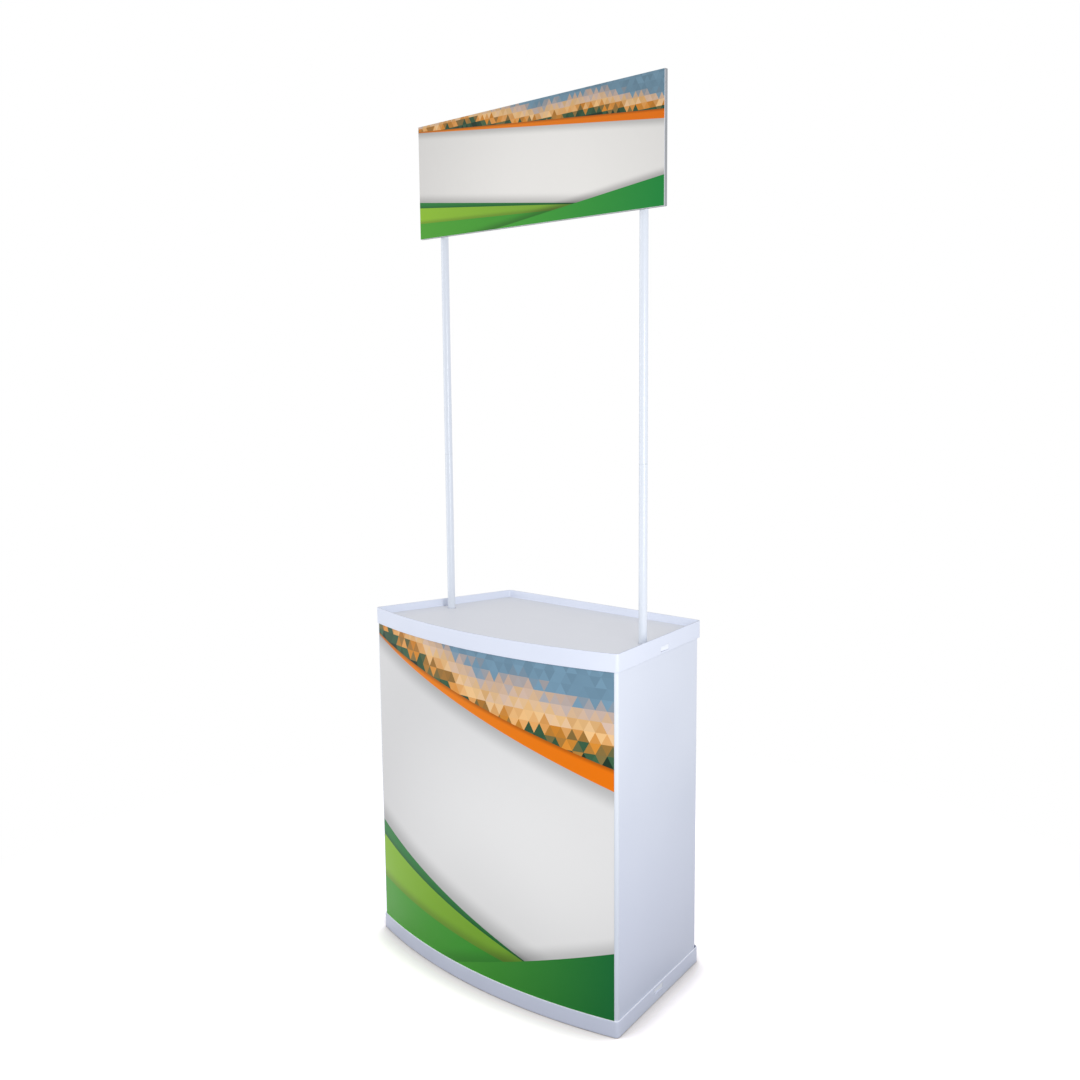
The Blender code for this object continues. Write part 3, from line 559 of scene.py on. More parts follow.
@dataclass(frozen=True)
class ZincPlate(Finish):
    """Zinc-plated steel: a pale metal whose plating dulls in soft patches, with drawn lines.

    The real lines are about 0.1 mm apart, and are drawn coarser so that they show.
    """

    shade: str = "#A9AEB4"
    patch: float = 6 * MM
    patch_rough: float = 0.08
    scratch: float = 0.5 * MM
    scratch_relief: Pair = (0.1, 0.05 * MM)

    def detail(self, tree: Tree) -> None:
        """Lay the plating's patches, and lines round the axis that the drawing left.

        Args:
            tree: The node tree.
        """
        place = self.place(tree)
        patches = add_node(tree, NOISE, place, 1 / self.patch, FINE)
        lines = self.streaks(tree, place, (self.patch, self.patch, self.scratch), SOFT)
        self.vary(tree, patches, (self.colour, self.shade), self.patch_rough)
        self.relief(tree, (lines, *self.scratch_relief))


# The printed artwork: straight bands across a pale field, one of them filled with small triangles


@dataclass
class Sheet:
    """A printed sheet: its size, and what says where on it a point is, all in metres."""

    width: float
    height: float
    across: Source
    up: Source


@dataclass(frozen=True)
class Band:
    """A band that covers the sheet above or below a straight edge.

    The edge is given by its heights at the sheet's left and right ends, as shares of the sheet's.
    """

    left: float
    right: float
    reach: Reach
    colours: tuple[str, str] = ("#FFFFFF", "#FFFFFF")
    fill: Fill = Fill.GRADIENT
    shadow: float = 0.35
    shadow_width: float = 0.03

    def edge(self, tree: Tree, sheet: Sheet) -> Node:
        """Measure how far outside the band a point is.

        Args:
            tree: The node tree.
            sheet: The sheet that the band is printed on.

        Returns:
            A node that holds the distance in metres, below zero inside the band.
        """
        rise = (self.right - self.left) * sheet.height
        lean = math.cos(math.atan2(rise, sheet.width))
        slope, middle = rise / sheet.width, self.left * sheet.height + rise / 2
        level = add_node(tree, MATH, sheet.across, slope, middle, operation="MULTIPLY_ADD")
        over = add_node(tree, MATH, sheet.up, level, operation="SUBTRACT")
        return add_node(tree, MATH, over, lean * self.reach.value, operation="MULTIPLY")


@dataclass(frozen=True)
class Artwork:
    """A generic print: a pale field between bands of greens below, and facets over orange above.

    The field is lightest round spot, a share of the width and of the height, and darkens from
    the first of spot_reach, a share of the height, to the second, a share of the width. The
    darkening is partly the print's own and partly painted light: the spot sits low, so that the
    lower field, which the lamps light less, looks as bright as the upper.
    """

    bands: tuple[Band, ...]
    facet: float
    facet_rise: float
    tone: str = "#FFFFFF"
    field_light: str = "#FAF9F5"
    field_shade: str = "#E2E1DE"
    # Painted light: the spot sits low so that the less lit lower field looks as bright as the upper
    spot: Pair = (0.05, 0.20)
    spot_reach: Pair = (0.2, 0.75)
    edge_blur: float = 0.2 * MM
    facet_drift: float = 0.9
    facet_jitter: float = 0.16
    facet_light: Pair = (0.84, 1.1)

    def paint(self, tree: Tree, sheet: Sheet) -> Node:
        """Lay the bands over the field in order, each with a soft shadow on what is under it.

        Args:
            tree: The node tree.
            sheet: The sheet that is printed.

        Returns:
            A node that holds the colour.
        """
        share = add_node(tree, RANGE, sheet.across, -sheet.width / 2, sheet.width / 2)
        ink = self.field(tree, sheet)
        for band in self.bands:
            outside = band.edge(tree, sheet)
            shade = add_node(
                tree, RANGE, outside, 0.0, band.shadow_width, 1 - band.shadow, 1.0,
                interpolation_type="SMOOTHSTEP",
            )
            under = add_node(tree, MIX, 1.0, ink, shade, blend_type="MULTIPLY")
            if band.fill is Fill.FACETS:
                over = self.facets(tree, sheet, band)
            else:
                over = add_node(tree, MIX, share, *band.colours)
            inside = add_node(tree, RANGE, outside, -self.edge_blur, self.edge_blur, 1.0, 0.0)
            ink = add_node(tree, MIX, inside, under, over)
        return add_node(tree, MIX, 1.0, ink, self.tone, blend_type="MULTIPLY")

    def field(self, tree: Tree, sheet: Sheet) -> Node:
        """Paint the field, which darkens softly away from a light spot low in its middle: a
        gradient of the print's own, placed low as painted light that makes up for the weaker light
        on the lower field.

        Args:
            tree: The node tree.
            sheet: The sheet that is printed.

        Returns:
            A node that holds the field's colour.
        """
        spot = (self.spot[0] * sheet.width, self.spot[1] * sheet.height, 0.0)
        reach = (self.spot_reach[0] * sheet.height, self.spot_reach[1] * sheet.width)
        point = add_node(tree, JOIN, sheet.across, sheet.up)
        away = add_node(tree, VECTOR, point, spot, operation="DISTANCE").outputs["Value"]
        shade = add_node(tree, RANGE, away, *reach, interpolation_type="SMOOTHSTEP")
        return add_node(tree, MIX, shade, self.field_light, self.field_shade)

    def facets(self, tree: Tree, sheet: Sheet, band: Band) -> Node:
        """Paint triangles whose colours climb from dark green through orange to a grey blue.

        Args:
            tree: The node tree.
            sheet: The sheet that is printed.
            band: The band that the facets fill.

        Returns:
            A node that holds the facets' colour.
        """
        # Rows of equal triangles: each row starts half a step on from the one below, and in each
        # cell the parts of a row and of a step tell the upper triangle from the lower
        row = self.facet * math.sqrt(3) / 2
        rows = add_node(tree, MATH, sheet.up, row, operation="DIVIDE")
        steps = add_node(tree, MATH, sheet.across, self.facet, operation="DIVIDE")
        slant = add_node(tree, MATH, rows, -0.5, steps, operation="MULTIPLY_ADD")
        parts = [add_node(tree, MATH, count, operation="FRACT") for count in (rows, slant)]
        upper = add_node(tree, MATH, add_node(tree, MATH, *parts), 1.0, operation="GREATER_THAN")
        whole = [add_node(tree, MATH, count, operation="FLOOR") for count in (slant, rows)]
        cell = add_node(tree, JOIN, *whole, upper)
        chance = add_node(tree, "ShaderNodeTexWhiteNoise", cell)
        # The triangle's own middle, so that each one has a single colour
        third = add_node(tree, MATH, upper, 1 / 3, 1 / 3, operation="MULTIPLY_ADD")
        middle_step, middle_row = (add_node(tree, MATH, index, third) for index in whole)
        lean = add_node(tree, MATH, middle_row, 0.5, middle_step, operation="MULTIPLY_ADD")
        across = add_node(tree, MATH, lean, self.facet, operation="MULTIPLY")
        up = add_node(tree, MATH, middle_row, row, operation="MULTIPLY")
        edge = band.edge(tree, Sheet(sheet.width, sheet.height, across, up))
        depth = add_node(tree, MATH, edge, -1 / self.facet_rise, operation="MULTIPLY")
        spot = add_node(tree, JOIN, across, up)
        # The colours drift in patches twice as large as their rise
        drift = add_node(tree, NOISE, spot, 0.5 / self.facet_rise)
        moved = add_node(tree, MATH, drift, self.facet_drift, depth, operation="MULTIPLY_ADD")
        jitter = add_node(tree, MATH, chance, self.facet_jitter, moved, operation="MULTIPLY_ADD")
        ramp = add_node(tree, "ShaderNodeValToRGB", jitter, stops=FACET_STOPS)
        light = add_node(tree, RANGE, chance, 0.0, 1.0, *self.facet_light)
        return add_node(tree, MIX, 1.0, ramp, light, blend_type="MULTIPLY")


@dataclass(frozen=True, kw_only=True)
class PrintedFilm(Finish):
    """Printed and laminated film: the artwork under a satin laminate with a fine emboss.

    The real emboss is about 0.3 mm. It is drawn coarser so that it shows. On a film that is bent
    to a bow, the artwork is measured along the bow.
    """

    node: str
    artwork: Artwork
    bow_radius: float = 0.0
    bow_centre_y: float = 0.0
    face_facing: float = -0.6
    specular: float = 0.12
    emboss: float = 1.5 * MM
    emboss_relief: Pair = (0.06, 0.08 * MM)
    wave: float = 200 * MM
    wave_relief: Pair = (0.2, 1.5 * MM)
    wave_rough: float = 0.04

    def detail(self, tree: Tree) -> None:
        """Print the face, leave the edges and the back bare, and lay the emboss and its waves.

        Args:
            tree: The node tree.
        """
        place = self.place(tree)
        x, y, z = add_node(tree, SPLIT, place).outputs
        low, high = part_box(self.node)
        up = add_node(tree, MATH, z, low.z, operation="SUBTRACT")
        across, width = x, high.x - low.x
        if self.bow_radius:
            ahead = add_node(tree, MATH, self.bow_centre_y, y, operation="SUBTRACT")
            turn = add_node(tree, MATH, x, ahead, operation="ARCTAN2")
            across = add_node(tree, MATH, turn, self.bow_radius, operation="MULTIPLY")
            width = 2 * self.bow_radius * math.asin(high.x / self.bow_radius)
        ink = self.artwork.paint(tree, Sheet(width, high.z - low.z, across, up))
        ahead = self.facing(tree, "Y")
        face = add_node(tree, MATH, ahead, self.face_facing, operation="LESS_THAN")
        emboss = add_node(tree, CELLS, place, 1 / self.emboss)
        waves = add_node(tree, NOISE, place, 1 / self.wave, SMOOTH)
        feed(tree, SHADER, {"Specular IOR Level": self.specular})
        self.vary(tree, face, (self.colour, ink), self.wave_rough, gloss=waves)
        self.relief(tree, (waves, *self.wave_relief), (emboss, *self.emboss_relief))


# From the facets' edge inwards: two dark greens, orange, gold, sand and a grey blue
FACET_STOPS = (
    (0.40, "#183524"),
    (0.54, "#3B6244"),
    (0.62, "#D98A28"),
    (0.74, "#F0C488"),
    (0.90, "#CDB4A4"),
    (1.0, "#7394A8"),
)
ORANGE = ("#F58A10", "#EC7600")
LIGHT_GREEN = ("#94C82C", "#6A9C38")
MID_GREEN = ("#4FAA2C", "#209030")
DARK_GREEN = ("#1F8236", "#127032")
DEEPENING_GREEN = ("#5CBE2E", "#0C6A30")
FRESH_GREEN = ("#56B82E", "#108A3A")

FRONT_ART = Artwork(
    bands=(
        Band(0.945, 0.66, Reach.ABOVE, ORANGE, shadow_width=0.05),
        Band(0.95, 0.72, Reach.ABOVE, fill=Fill.FACETS, shadow=0.45, shadow_width=0.012),
        Band(0.34, 0.02, Reach.BELOW, DARK_GREEN, shadow_width=0.06),
        Band(0.29, 0.035, Reach.BELOW, LIGHT_GREEN, shadow_width=0.02),
        Band(0.15, 0.05, Reach.BELOW, MID_GREEN),
        Band(-0.12, 0.21, Reach.BELOW, DEEPENING_GREEN, shadow=0.30, shadow_width=0.04),
    ),
    facet=0.029,
    facet_rise=0.24,
)

HEADER_ART = Artwork(
    bands=(
        Band(0.95, 0.64, Reach.ABOVE, ORANGE, shadow_width=0.02),
        Band(0.96, 0.71, Reach.ABOVE, fill=Fill.FACETS, shadow=0.45, shadow_width=0.006),
        Band(0.33, 0.02, Reach.BELOW, DARK_GREEN, shadow_width=0.025),
        Band(0.28, 0.03, Reach.BELOW, LIGHT_GREEN, shadow_width=0.01),
        Band(0.14, 0.05, Reach.BELOW, MID_GREEN, shadow_width=0.012),
        Band(-0.12, 0.23, Reach.BELOW, FRESH_GREEN, shadow=0.45, shadow_width=0.02),
    ),
    facet=0.016,
    facet_rise=0.09,
    tone="#ECEAE6",
)

# ABS moulded against an eroded tool: an even, bluish white that glows softly round its corners,
# with a painted highlight on its edges, over a duller floor that things have slid across, greyed
# with painted shade, under a rim darkened with painted shade
TRAY_ABS = MouldedAbs("moulded_abs_tray", "#E5EAF6", 0.36, 1.53, shade="#DEE4F1")
# The same near the ground, painted deeper in tone as painted shade, so that its worn edges and its
# rim stand out white with painted highlights
SHADED_BASE_ABS = MouldedAbs(
    "moulded_abs_base", "#DDE3F4", 0.38, 1.53,
    shade="#D5DBEC", painted_edge_light="#FFFFFF", rim_height=0.040, painted_rim_light="#FFFFFF",
)
# The same from a finer tool: a small tongue, glossier than its skirt and painted whiter as a
# painted highlight
HIGHLIT_CATCH_ABS = MouldedAbs("moulded_abs_catch", "#F2F6FD", 0.30, 1.53, shade="#ECF0F8")
# The same from a coarser tool: a plain, dull white inside the counter
SHELF_ABS = MouldedAbs("moulded_abs_shelf", "#E2E4E9", 0.46, 1.53, shade="#D9DCE2")
# ABS sheet, extruded and bent: a satin white wall, whose upright lines and slow waves show only
# where light glances along it, and which greys towards the ground with painted shade
PANEL_ABS = ExtrudedSheet("extruded_abs_sheet", "#E2E7F1", 0.36, 1.53, shade="#D5DBE7")
# Extruded vinyl: a smooth, clear strip with a narrow gleam up its round, lighter than the wall
# partly in its own colour and partly as a painted highlight, with paler edges as a painted
# highlight
CORNER_VINYL = ExtrudedSheet(
    "extruded_vinyl_profile", "#E9EEF4", 0.28, 1.54,
    shade="#E1E7EE", ground_shade_share=0.34, line=2 * MM,
)
# Powder coat stoved on steel tube: a hard, clear gleam down each pole, which the orange peel
# just breaks up
POLE_ENAMEL = Grained(
    "powder_coated_steel", "#DEE3E9", 0.24, 1.52,
    shade="#D9DFE7", grain=2.2 * MM, fine=1.5, grain_rough=0.02, grain_relief=(0.18, 0.12 * MM),
    even={"Coat Weight": 0.25, "Coat Roughness": 0.12},
)
# Foamed PVC board: a dull skin, and sawn edges that look slightly open, painted greyer as painted
# shade
HEADER_FOAM = FoamedSheet("foamed_pvc_board", "#E6E7E9", 0.62, 1.54)
# Moulded natural nylon: a warm, waxy white that is soft at its thin edges, where light goes in.
# The mould's grain is about 0.2 mm, and is drawn coarser so that it shows
CLIP_NYLON = Grained(
    "moulded_nylon_clip", "#E6E6E0", 0.48, 1.53,
    shade="#D9DAD6", grain=1.2 * MM, fine=2.0, grain_rough=0.04, grain_relief=(0.2, 0.1 * MM),
    even={"Subsurface Weight": 0.15, "Subsurface Scale": 1.5 * MM},
)
# Zinc plate on drawn tube: a pale metal sheen, cloudy in patches, with no clear reflection
SPIGOT_STEEL = ZincPlate("zinc_plated_tube", "#C6CACF", 0.34, metallic=1.0)
# Zinc plate on a screw: brighter and sharper, with smaller clouds
SCREW_STEEL = ZincPlate("zinc_plated_screw", "#D2D5D8", 0.26, metallic=1.0, patch=2 * MM)
# Moulded rubber: nearly black and matt, greyed by the dust worked into its grain, which is
# drawn coarser than its real 0.2 mm so that it shows
PAD_RUBBER = Grained(
    "moulded_rubber_pad", "#19191A", 0.82, 1.52,
    shade="#3A3A3C", grain=1.0 * MM, fine=4.0, grain_rough=0.05, grain_relief=(0.4, 0.2 * MM),
    even={},
)
# Satin laminate over a print: full colours with little shine, and a slow ripple in that shine
FRONT_FILM = PrintedFilm(
    "laminated_front_print", "#E9EAEC", 0.34,
    node="front_print", artwork=FRONT_ART, bow_radius=1.42523, bow_centre_y=1.18623,
)
# The same, flat on the board
HEADER_FILM = PrintedFilm(
    "laminated_header_print", "#E9EAEC", 0.34, node="header_print", artwork=HEADER_ART
)


# The studio


@dataclass(frozen=True)
class Lamp:
    """A soft square lamp that faces a point on the counter."""

    name: str
    place: Point
    aim: Point
    size: float
    power: float

    def build(self) -> None:
        """Add the lamp."""
        data = bpy.data.lights.new(self.name, "AREA")
        data.shape, data.size, data.energy = "SQUARE", self.size, self.power
        lamp = put(self.name, data)
        lamp.location = self.place
        ray = Vector(self.aim) - Vector(self.place)
        lamp.rotation_euler = ray.to_track_quat("-Z", "Y").to_euler()


@dataclass
class Studio:
    """The floor, the world, the lamps and the camera.

    The floor gives back little light within the first of floor_patch from the counter, and turns
    to the plain backdrop at the second. Round the counter's foot it shows a painted contact
    shadow from ambient occlusion, over the shadow that the lamps cast. The camera's turns are its
    yaw, pitch and roll in degrees, and its focal length is in the pixels of a frame that is
    frame_pixels wide.
    """

    floor_reach: float = 9.0
    floor_near: str = "#1C1C1E"
    floor_far: str = "#F2F2F4"
    floor_patch: Pair = (0.55, 1.8)
    floor_shown: float = 1.8
    floor_white: str = "#FFFAF7"
    contact_shadow_reach: float = 0.12
    contact_shadow_range: Pair = (0.5, 0.98)
    contact_shadow_colour: str = "#ABA7A2"
    contact_shadow_samples: int = 16
    backdrop: str = "#FFFFFF"
    ambient: float = 0.80
    ambient_colour: str = "#F6F8FF"
    camera_place: Point = (1.97762, -2.0605, 1.45616)
    camera_turns: Point = (43.60784, -7.55424, -0.51138)
    focal_pixels: float = 1164.32
    frame_pixels: float = 1080.0
    sensor: float = 36.0
    lamps: tuple[Lamp, ...] = (
        Lamp("key", (2.0, -0.92, 1.25), (0.1, 0.0, 0.8), 1.1, 18.0),
        Lamp("fill", (-2.75, -2.5, 1.5), (0.0, 0.0, 0.8), 2.8, 33.5),
    )

    def build(self) -> None:
        """Set the stage."""
        bpy.context.scene.view_settings.view_transform = "Standard"
        self.add_floor()
        self.set_world()
        for lamp in self.lamps:
            lamp.build()
        self.add_camera()

    def shown(self, tree: Tree) -> Node:
        """Find where the camera sees the surface, straight or in gloss or glass.

        Args:
            tree: The node tree.

        Returns:
            A node that is 1 for such light and 0 for the light that falls on the counter.
        """
        path = add_node(tree, "ShaderNodeLightPath")
        names = ("Is Camera Ray", "Is Glossy Ray", "Is Transmission Ray")
        straight, gloss, glass = (path.outputs[name] for name in names)
        either = add_node(tree, MATH, straight, gloss, operation="MAXIMUM")
        return add_node(tree, MATH, either, glass, operation="MAXIMUM")

    def add_floor(self) -> None:
        """Add a floor that shows white, keeps the shadow, adds a painted contact shadow, and gives
        back little light near by.
        """
        reach = self.floor_reach
        corners = [(-reach, -reach, 0), (reach, -reach, 0), (reach, reach, 0), (-reach, reach, 0)]
        mesh = bpy.data.meshes.new("floor")
        mesh.from_pydata(corners, [], [(0, 1, 2, 3)])
        floor = put("floor", mesh)
        mesh.materials.append(self.floor_material())

    def floor_material(self) -> bpy.types.Material:
        """Make the matt floor, which gives back little light where the counter stands, shows a
        painted contact shadow round its foot, and glows far from it.

        Returns:
            The floor's material.
        """
        material = bpy.data.materials.new("matt_floor")
        material.use_nodes = True
        tree = material.node_tree
        tree.nodes.remove(tree.nodes[SHADER])
        shown = self.shown(tree)
        place = add_node(tree, PLACE).outputs["Object"]
        away = add_node(tree, VECTOR, place, operation="LENGTH").outputs["Value"]
        far = add_node(tree, RANGE, away, *self.floor_patch, interpolation_type="SMOOTHSTEP")
        unseen = add_node(tree, MIX, far, self.floor_near, self.floor_far)
        # Painted shadow: ambient occlusion greys the floor next to the counter, over the lamps' own
        # shadow
        near = {"Distance": self.contact_shadow_reach}
        sky = add_node(tree, SHELTER, links=near, samples=self.contact_shadow_samples).outputs["AO"]
        bare = add_node(tree, RANGE, sky, *self.contact_shadow_range)
        painted_shadow = add_node(tree, MIX, bare, self.contact_shadow_colour, self.floor_white)
        lit = add_node(tree, VECTOR, painted_shadow, operation="SCALE", links={"Scale": self.floor_shown})
        tint = add_node(tree, MIX, shown, unseen, lit)
        matt = add_node(tree, "ShaderNodeBsdfDiffuse", tint)
        white = add_node(tree, "ShaderNodeEmission", self.backdrop, 1.0)
        seen_far = add_node(tree, MATH, shown, far, operation="MULTIPLY")
        ground = add_node(tree, "ShaderNodeMixShader", seen_far, matt, white)
        feed(tree, "Material Output", {"Surface": ground})
        return material

    def set_world(self) -> None:
        """Make the backdrop white to the eye, and a soft even light to the counter."""
        world = bpy.data.worlds.new("soft_box")
        bpy.context.scene.world = world
        world.use_nodes = True
        tree = world.node_tree
        shown = self.shown(tree)
        tint = add_node(tree, MIX, shown, self.ambient_colour, self.backdrop)
        level = add_node(tree, RANGE, shown, 0.0, 1.0, self.ambient, 1.0)
        feed(tree, "Background", {"Color": tint, "Strength": level})

    def add_camera(self) -> None:
        """Place the camera where the photograph was taken from."""
        yaw, pitch, roll = (math.radians(turn) for turn in self.camera_turns)
        ahead = Vector(
            (-math.sin(yaw) * math.cos(pitch), math.cos(yaw) * math.cos(pitch), math.sin(pitch))
        )
        level = Vector((math.cos(yaw), math.sin(yaw), 0))
        over = level.cross(ahead)
        right = math.cos(roll) * level + math.sin(roll) * over
        up = math.cos(roll) * over - math.sin(roll) * level
        data = bpy.data.cameras.new("camera")
        data.sensor_width = self.sensor
        data.sensor_fit = "HORIZONTAL"
        data.lens = self.sensor * self.focal_pixels / self.frame_pixels
        camera = put("camera", data)
        axes = Matrix((right, up, -ahead)).transposed()
        camera.matrix_world = Matrix.Translation(self.camera_place) @ axes.to_4x4()
        bpy.context.scene.camera = camera


# Sub-assemblies


@dataclass
class SmoothSkin:
    """A modifier pair that shades a CAD solid's curves smoothly and leaves its corners crisp."""

    weld: float = 0.01 * MM

    def group(self) -> Tree:
        """Make the node group the first time, and find it after that.

        Returns:
            A group that welds the facets' points and marks the sharp edges.
        """
        found = bpy.data.node_groups.get("smooth_skin")
        if found:
            return found
        tree = bpy.data.node_groups.new("smooth_skin", "GeometryNodeTree")
        for way in ("INPUT", "OUTPUT"):
            tree.interface.new_socket("Geometry", in_out=way, socket_type="NodeSocketGeometry")
        links = {"Geometry": add_node(tree, "NodeGroupInput"), "Name": "custom_normal"}
        plain = add_node(tree, "GeometryNodeRemoveAttribute", links=links)
        links = {"Geometry": plain, "Distance": self.weld}
        skin = add_node(tree, "GeometryNodeMergeByDistance", links=links)
        turn = add_node(tree, "GeometryNodeInputMeshEdgeAngle").outputs["Unsigned Angle"]
        sharp = add_node(
            tree, "FunctionNodeCompare", turn, CRISP, data_type="FLOAT", operation="GREATER_THAN"
        )
        for domain, picked, smooth in (
            ("FACE", None, True), ("EDGE", None, True), ("EDGE", sharp, False)
        ):
            links = {"Geometry": skin, "Selection": picked, "Shade Smooth": smooth}
            skin = add_node(tree, "GeometryNodeSetShadeSmooth", links=links, domain=domain)
        add_node(tree, "NodeGroupOutput", skin)
        return tree

    def apply_to(self, piece: bpy.types.Object) -> None:
        """Give a piece both modifiers.

        Args:
            piece: The piece.
        """
        skin = piece.modifiers.new("smooth_skin", "NODES")
        skin.node_group = self.group()
        weighted = piece.modifiers.new("level_faces", "WEIGHTED_NORMAL")
        weighted.keep_sharp = True


def dress(finish: Finish, *names: str) -> None:
    """Give CAD nodes their finish and a smooth skin.

    Args:
        finish: The finish.
        names: The nodes' names.
    """
    for name in names:
        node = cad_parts[name]
        node.data.materials.clear()
        node.data.materials.append(finish.material())
        SmoothSkin().apply_to(node)
        LOG.info("dressed %s in %s", name, finish.name)


def both(name: str) -> tuple[str, ...]:
    """Return a node's name for the left side and for the right."""
    return tuple(f"{name}_{side.value}" for side in Side)


def ring_mesh(name: str, *solids: Sequence[Ring]) -> bpy.types.Mesh:
    """Make a mesh of closed solids, each from rings of as many points each.

    Args:
        name: The mesh's name.
        solids: Each solid's rings, in order from one end to the other.

    Returns:
        The mesh, with its faces turned outwards.
    """
    shape = bmesh.new()
    for rings in solids:
        rows = [[shape.verts.new(point) for point in ring] for ring in rings]
        for low, high in zip(rows, rows[1:]):
            for i in range(len(low)):
                shape.faces.new((low[i - 1], low[i], high[i], high[i - 1]))
        shape.faces.new(rows[0])
        shape.faces.new(rows[-1])
    bmesh.ops.recalc_face_normals(shape, faces=shape.faces)
    mesh = bpy.data.meshes.new(name)
    shape.to_mesh(mesh)
    shape.free()
    return mesh


def circle(sides: int) -> list[Pair]:
    """Return the cosine and sine of each of so many even turns."""
    turns = [2 * math.pi * i / sides for i in range(sides)]
    return [(math.cos(turn), math.sin(turn)) for turn in turns]


def stand_in(
    name: str, rings: Sequence[Ring], finish: Finish, body: Body
) -> bpy.types.Object:
    """Put a finer piece in the place of a CAD node.

    Args:
        name: The node's name, which the piece's name is made from.
        rings: The rings that its skin joins, in the frame's axes.
        finish: Its finish.
        body: The body that it rides on.

    Returns:
        The new piece.
    """
    mesh = ring_mesh(f"{name}_fine", rings)
    mesh.materials.append(finish.material())
    mesh.shade_smooth()
    mesh.set_sharp_from_angle(angle=CRISP)
    piece = put(f"{name}_fine", mesh)
    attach(piece, body.value)
    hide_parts(name)
    LOG.info("built %s in place of %s", piece.name, name)
    return piece


@dataclass
class FootPad:
    """A rubber pad with a chamfered rim and moulded rings on the side that it stands on."""

    node: str
    sides: int = 64
    chamfer: float = 0.5 * MM
    groove: float = 0.4 * MM
    ring_shares: tuple[float, ...] = (0.30, 0.42, 0.58, 0.70)

    def build(self) -> None:
        """Turn the pad's section about its axis."""
        low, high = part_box(self.node)
        centre = (low + high) / 2
        radius = (high.x - low.x) / 2
        profile = [(radius * self.ring_shares[0] / 2, low.z)]
        levels = (low.z, low.z + self.groove)
        for share in self.ring_shares:
            for side, level in zip((-1, 1), levels):
                profile.append((radius * share + side * self.groove / 2, level))
            levels = levels[::-1]
        profile += [
            (radius - self.chamfer, low.z),
            (radius, low.z + self.chamfer),
            (radius, high.z - self.chamfer / 2),
            (radius - self.chamfer / 2, high.z),
        ]
        rings = [
            [(centre.x + out * cos, centre.y + out * sin, z) for cos, sin in circle(self.sides)]
            for out, z in profile
        ]
        stand_in(self.node, rings, PAD_RUBBER, Body.COUNTER)


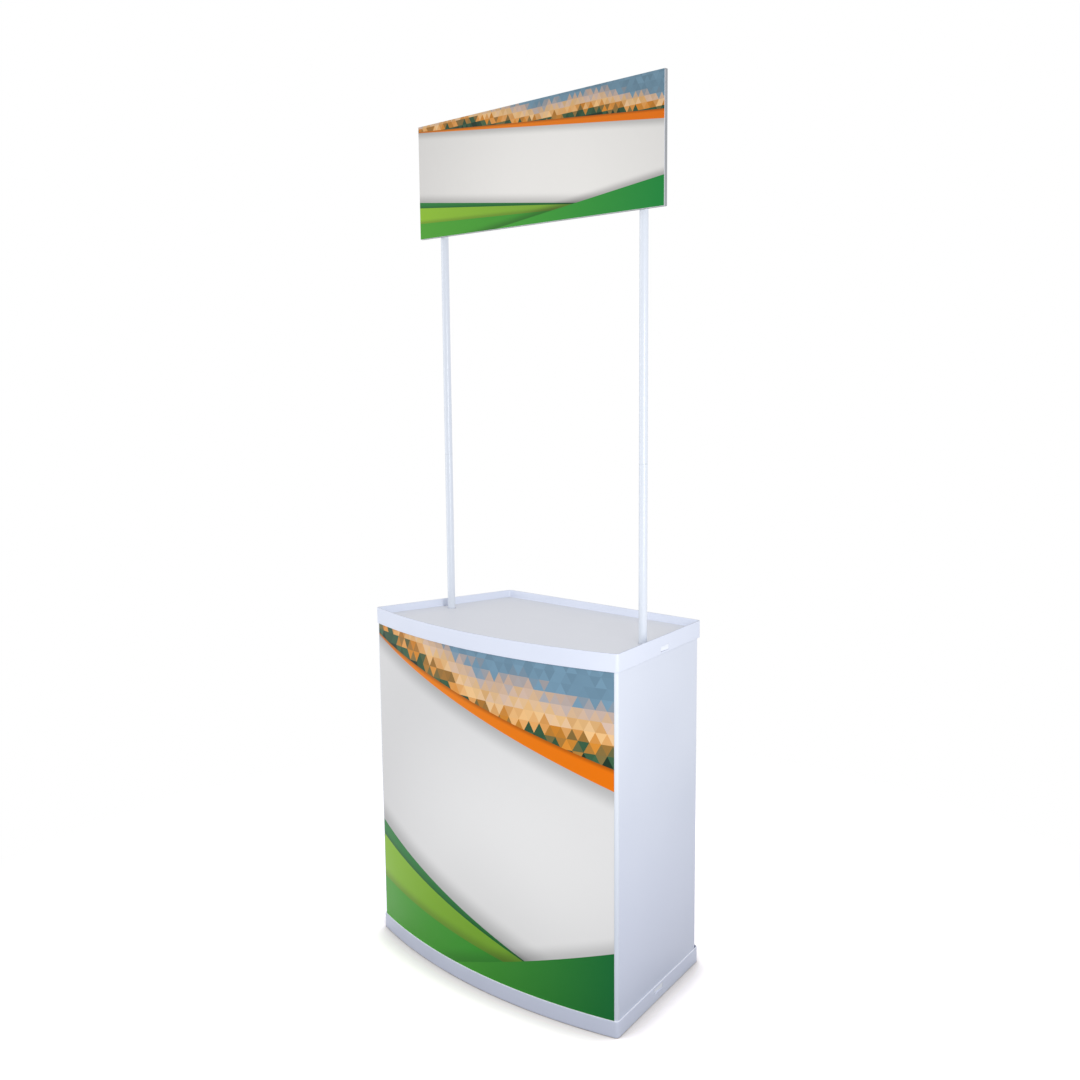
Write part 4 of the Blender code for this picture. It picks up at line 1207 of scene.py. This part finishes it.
@dataclass
class ClipScrew:
    """A pan-head screw with a cross recess, whose thread runs into the board.

    The tip starts at tip_share of the shank's radius and is full after tip_turns of the thread.
    The recess's arms are slot_mouth of their size where they open, and slot_floor at the bottom.
    """

    node: str
    sides: int = 32
    crown_steps: int = 6
    crown_flat: float = 0.08
    head_height: float = 2.1 * MM
    rim_height: float = 0.9 * MM
    shank_radius: float = 1.6 * MM
    thread_depth: float = 0.35 * MM
    thread_pitch: float = 1.2 * MM
    thread_rows: int = 8
    tip_share: float = 0.45
    tip_turns: float = 1.5
    slot_reach: float = 2.0 * MM
    slot_width: float = 0.75 * MM
    slot_depth: float = 1.3 * MM
    slot_mouth: float = 1.1
    slot_floor: float = 0.5

    def build(self) -> None:
        """Make the screw, cut its recess, and put it in its node's place."""
        low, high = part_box(self.node)
        middle = (low + high) / 2
        radius = (high.x - low.x) / 2
        seat = high.y - self.head_height
        rings = self.shank(low.y, seat) + self.head(radius, seat, high.y)
        rings = [[(middle.x + x, y, middle.z + z) for x, y, z in ring] for ring in rings]
        piece = stand_in(self.node, rings, SCREW_STEEL, Body.HEADER)
        self.cut_recess(piece, middle, high.y)

    def shank(self, tip: float, seat: float) -> list[Ring]:
        """Make the threaded shank.

        Args:
            tip: Where the screw ends, along y.
            seat: Where its head starts.

        Returns:
            The rings from the tip to the seat, about the screw's axis.
        """
        count = round((seat - tip) / self.thread_pitch * self.thread_rows)
        lead = self.tip_turns * self.thread_pitch
        rings = []
        for row in range(count + 1):
            y = tip + (seat - tip) * row / count
            taper = min(1.0, self.tip_share + (1 - self.tip_share) * (y - tip) / lead)
            ring = []
            for i, (cos, sin) in enumerate(circle(self.sides)):
                phase = ((y - tip) / self.thread_pitch - i / self.sides) % 1.0
                ridge = 1 - abs(2 * phase - 1)
                out = (self.shank_radius - self.thread_depth * (1 - ridge)) * taper
                ring.append((out * cos, y, out * sin))
            rings.append(ring)
        return rings

    def head(self, radius: float, seat: float, top: float) -> list[Ring]:
        """Make the domed head.

        Args:
            radius: The head's radius.
            seat: Where the head starts, along y.
            top: Where its crown ends.

        Returns:
            The rings from the seat to the crown, about the screw's axis.
        """
        profile = [(radius, seat), (radius, seat + self.rim_height)]
        rise = top - seat - self.rim_height
        for step in range(1, self.crown_steps + 1):
            turn = math.pi / 2 * step / (self.crown_steps + 1)
            y = seat + self.rim_height + rise * math.sin(turn)
            profile.append((radius * math.cos(turn), y))
        profile.append((radius * self.crown_flat, top))
        turns = circle(self.sides)
        return [[(out * cos, y, out * sin) for cos, sin in turns] for out, y in profile]

    def cut_recess(self, piece: bpy.types.Object, middle: Vector, top: float) -> None:
        """Cut the cross recess, whose arms narrow as they go in.

        Args:
            piece: The screw.
            middle: The middle of its box.
            top: Where its crown ends, along y.
        """
        arms = []
        ends = (top + self.slot_width, self.slot_mouth), (top - self.slot_depth, self.slot_floor)
        for turned in (False, True):
            rings = []
            for y, share in ends:
                reach, half = self.slot_reach * share, self.slot_width / 2 * share
                corners = [(-reach, -half), (reach, -half), (reach, half), (-reach, half)]
                if turned:
                    corners = [(-z, x) for x, z in corners]
                rings.append([(middle.x + x, y, middle.z + z) for x, z in corners])
            arms.append(rings)
        cutter = put("recess_cutter", ring_mesh("recess_cutter", *arms))
        cut = piece.modifiers.new("recess", "BOOLEAN")
        cut.object, cut.operation, cut.solver, cut.use_self = cutter, "DIFFERENCE", "EXACT", True
        graph = bpy.context.evaluated_depsgraph_get()
        finished = bpy.data.meshes.new_from_object(piece.evaluated_get(graph))
        piece.modifiers.remove(cut)
        piece.data = finished
        finished.set_sharp_from_angle(angle=CRISP)
        bpy.data.objects.remove(cutter)


@dataclass
class Base:
    """The base tray and its four feet."""

    feet: tuple[str, ...] = (*both("front"), *both("back"))

    def build(self) -> None:
        """Dress the tray and make the pads."""
        dress(SHADED_BASE_ABS, "base_tray")
        for foot in self.feet:
            FootPad(f"foot_pad_{foot}").build()


@dataclass
class Wall:
    """The bowed front with its print, the corner profiles, the side panels and their catches."""

    catch_levels: tuple[str, ...] = ("top", "base")

    def build(self) -> None:
        """Dress the wall, from the front round to the sides."""
        dress(PANEL_ABS, "front_panel", *both("side_panel"))
        dress(FRONT_FILM, "front_print")
        dress(CORNER_VINYL, *both("corner_profile"))
        for level in self.catch_levels:
            dress(HIGHLIT_CATCH_ABS, *both(f"snap_catch_{level}"))


@dataclass
class Inside:
    """The shelf with its rails, and the sockets under the counter top."""

    def build(self) -> None:
        """Dress what shows through the open back."""
        dress(SHELF_ABS, "shelf", *both("shelf_rail"), *both("pole_socket"))


@dataclass
class Top:
    """The top tray and the two poles that stand in it."""

    def build(self) -> None:
        """Dress the tray, the tubes and the spigots in their joints."""
        dress(TRAY_ABS, "top_tray")
        dress(POLE_ENAMEL, *both("lower_pole"), *both("upper_pole"))
        dress(SPIGOT_STEEL, *both("pole_spigot"))


@dataclass
class Header:
    """The header board with its print, saddle clips and screws."""

    clips: tuple[str, ...] = (*both("top"), *both("bottom"))
    screws: tuple[str, ...] = ("outer", "inner")

    def build(self) -> None:
        """Dress the board, the print and the clips, and make the screws."""
        dress(HEADER_FOAM, "header_board")
        dress(HEADER_FILM, "header_print")
        for clip in self.clips:
            dress(CLIP_NYLON, f"header_clip_{clip}")
            for screw in self.screws:
                ClipScrew(f"clip_screw_{clip}_{screw}").build()


def main() -> None:
    """Build the studio and the counter from the ground up."""
    logging.basicConfig(level=logging.INFO, format="%(name)s: %(message)s")
    Studio().build()
    for assembly in (Base(), Wall(), Inside(), Top(), Header()):
        assembly.build()
        LOG.info("finished %s", type(assembly).__name__)


if __name__ == "__main__":
    main()
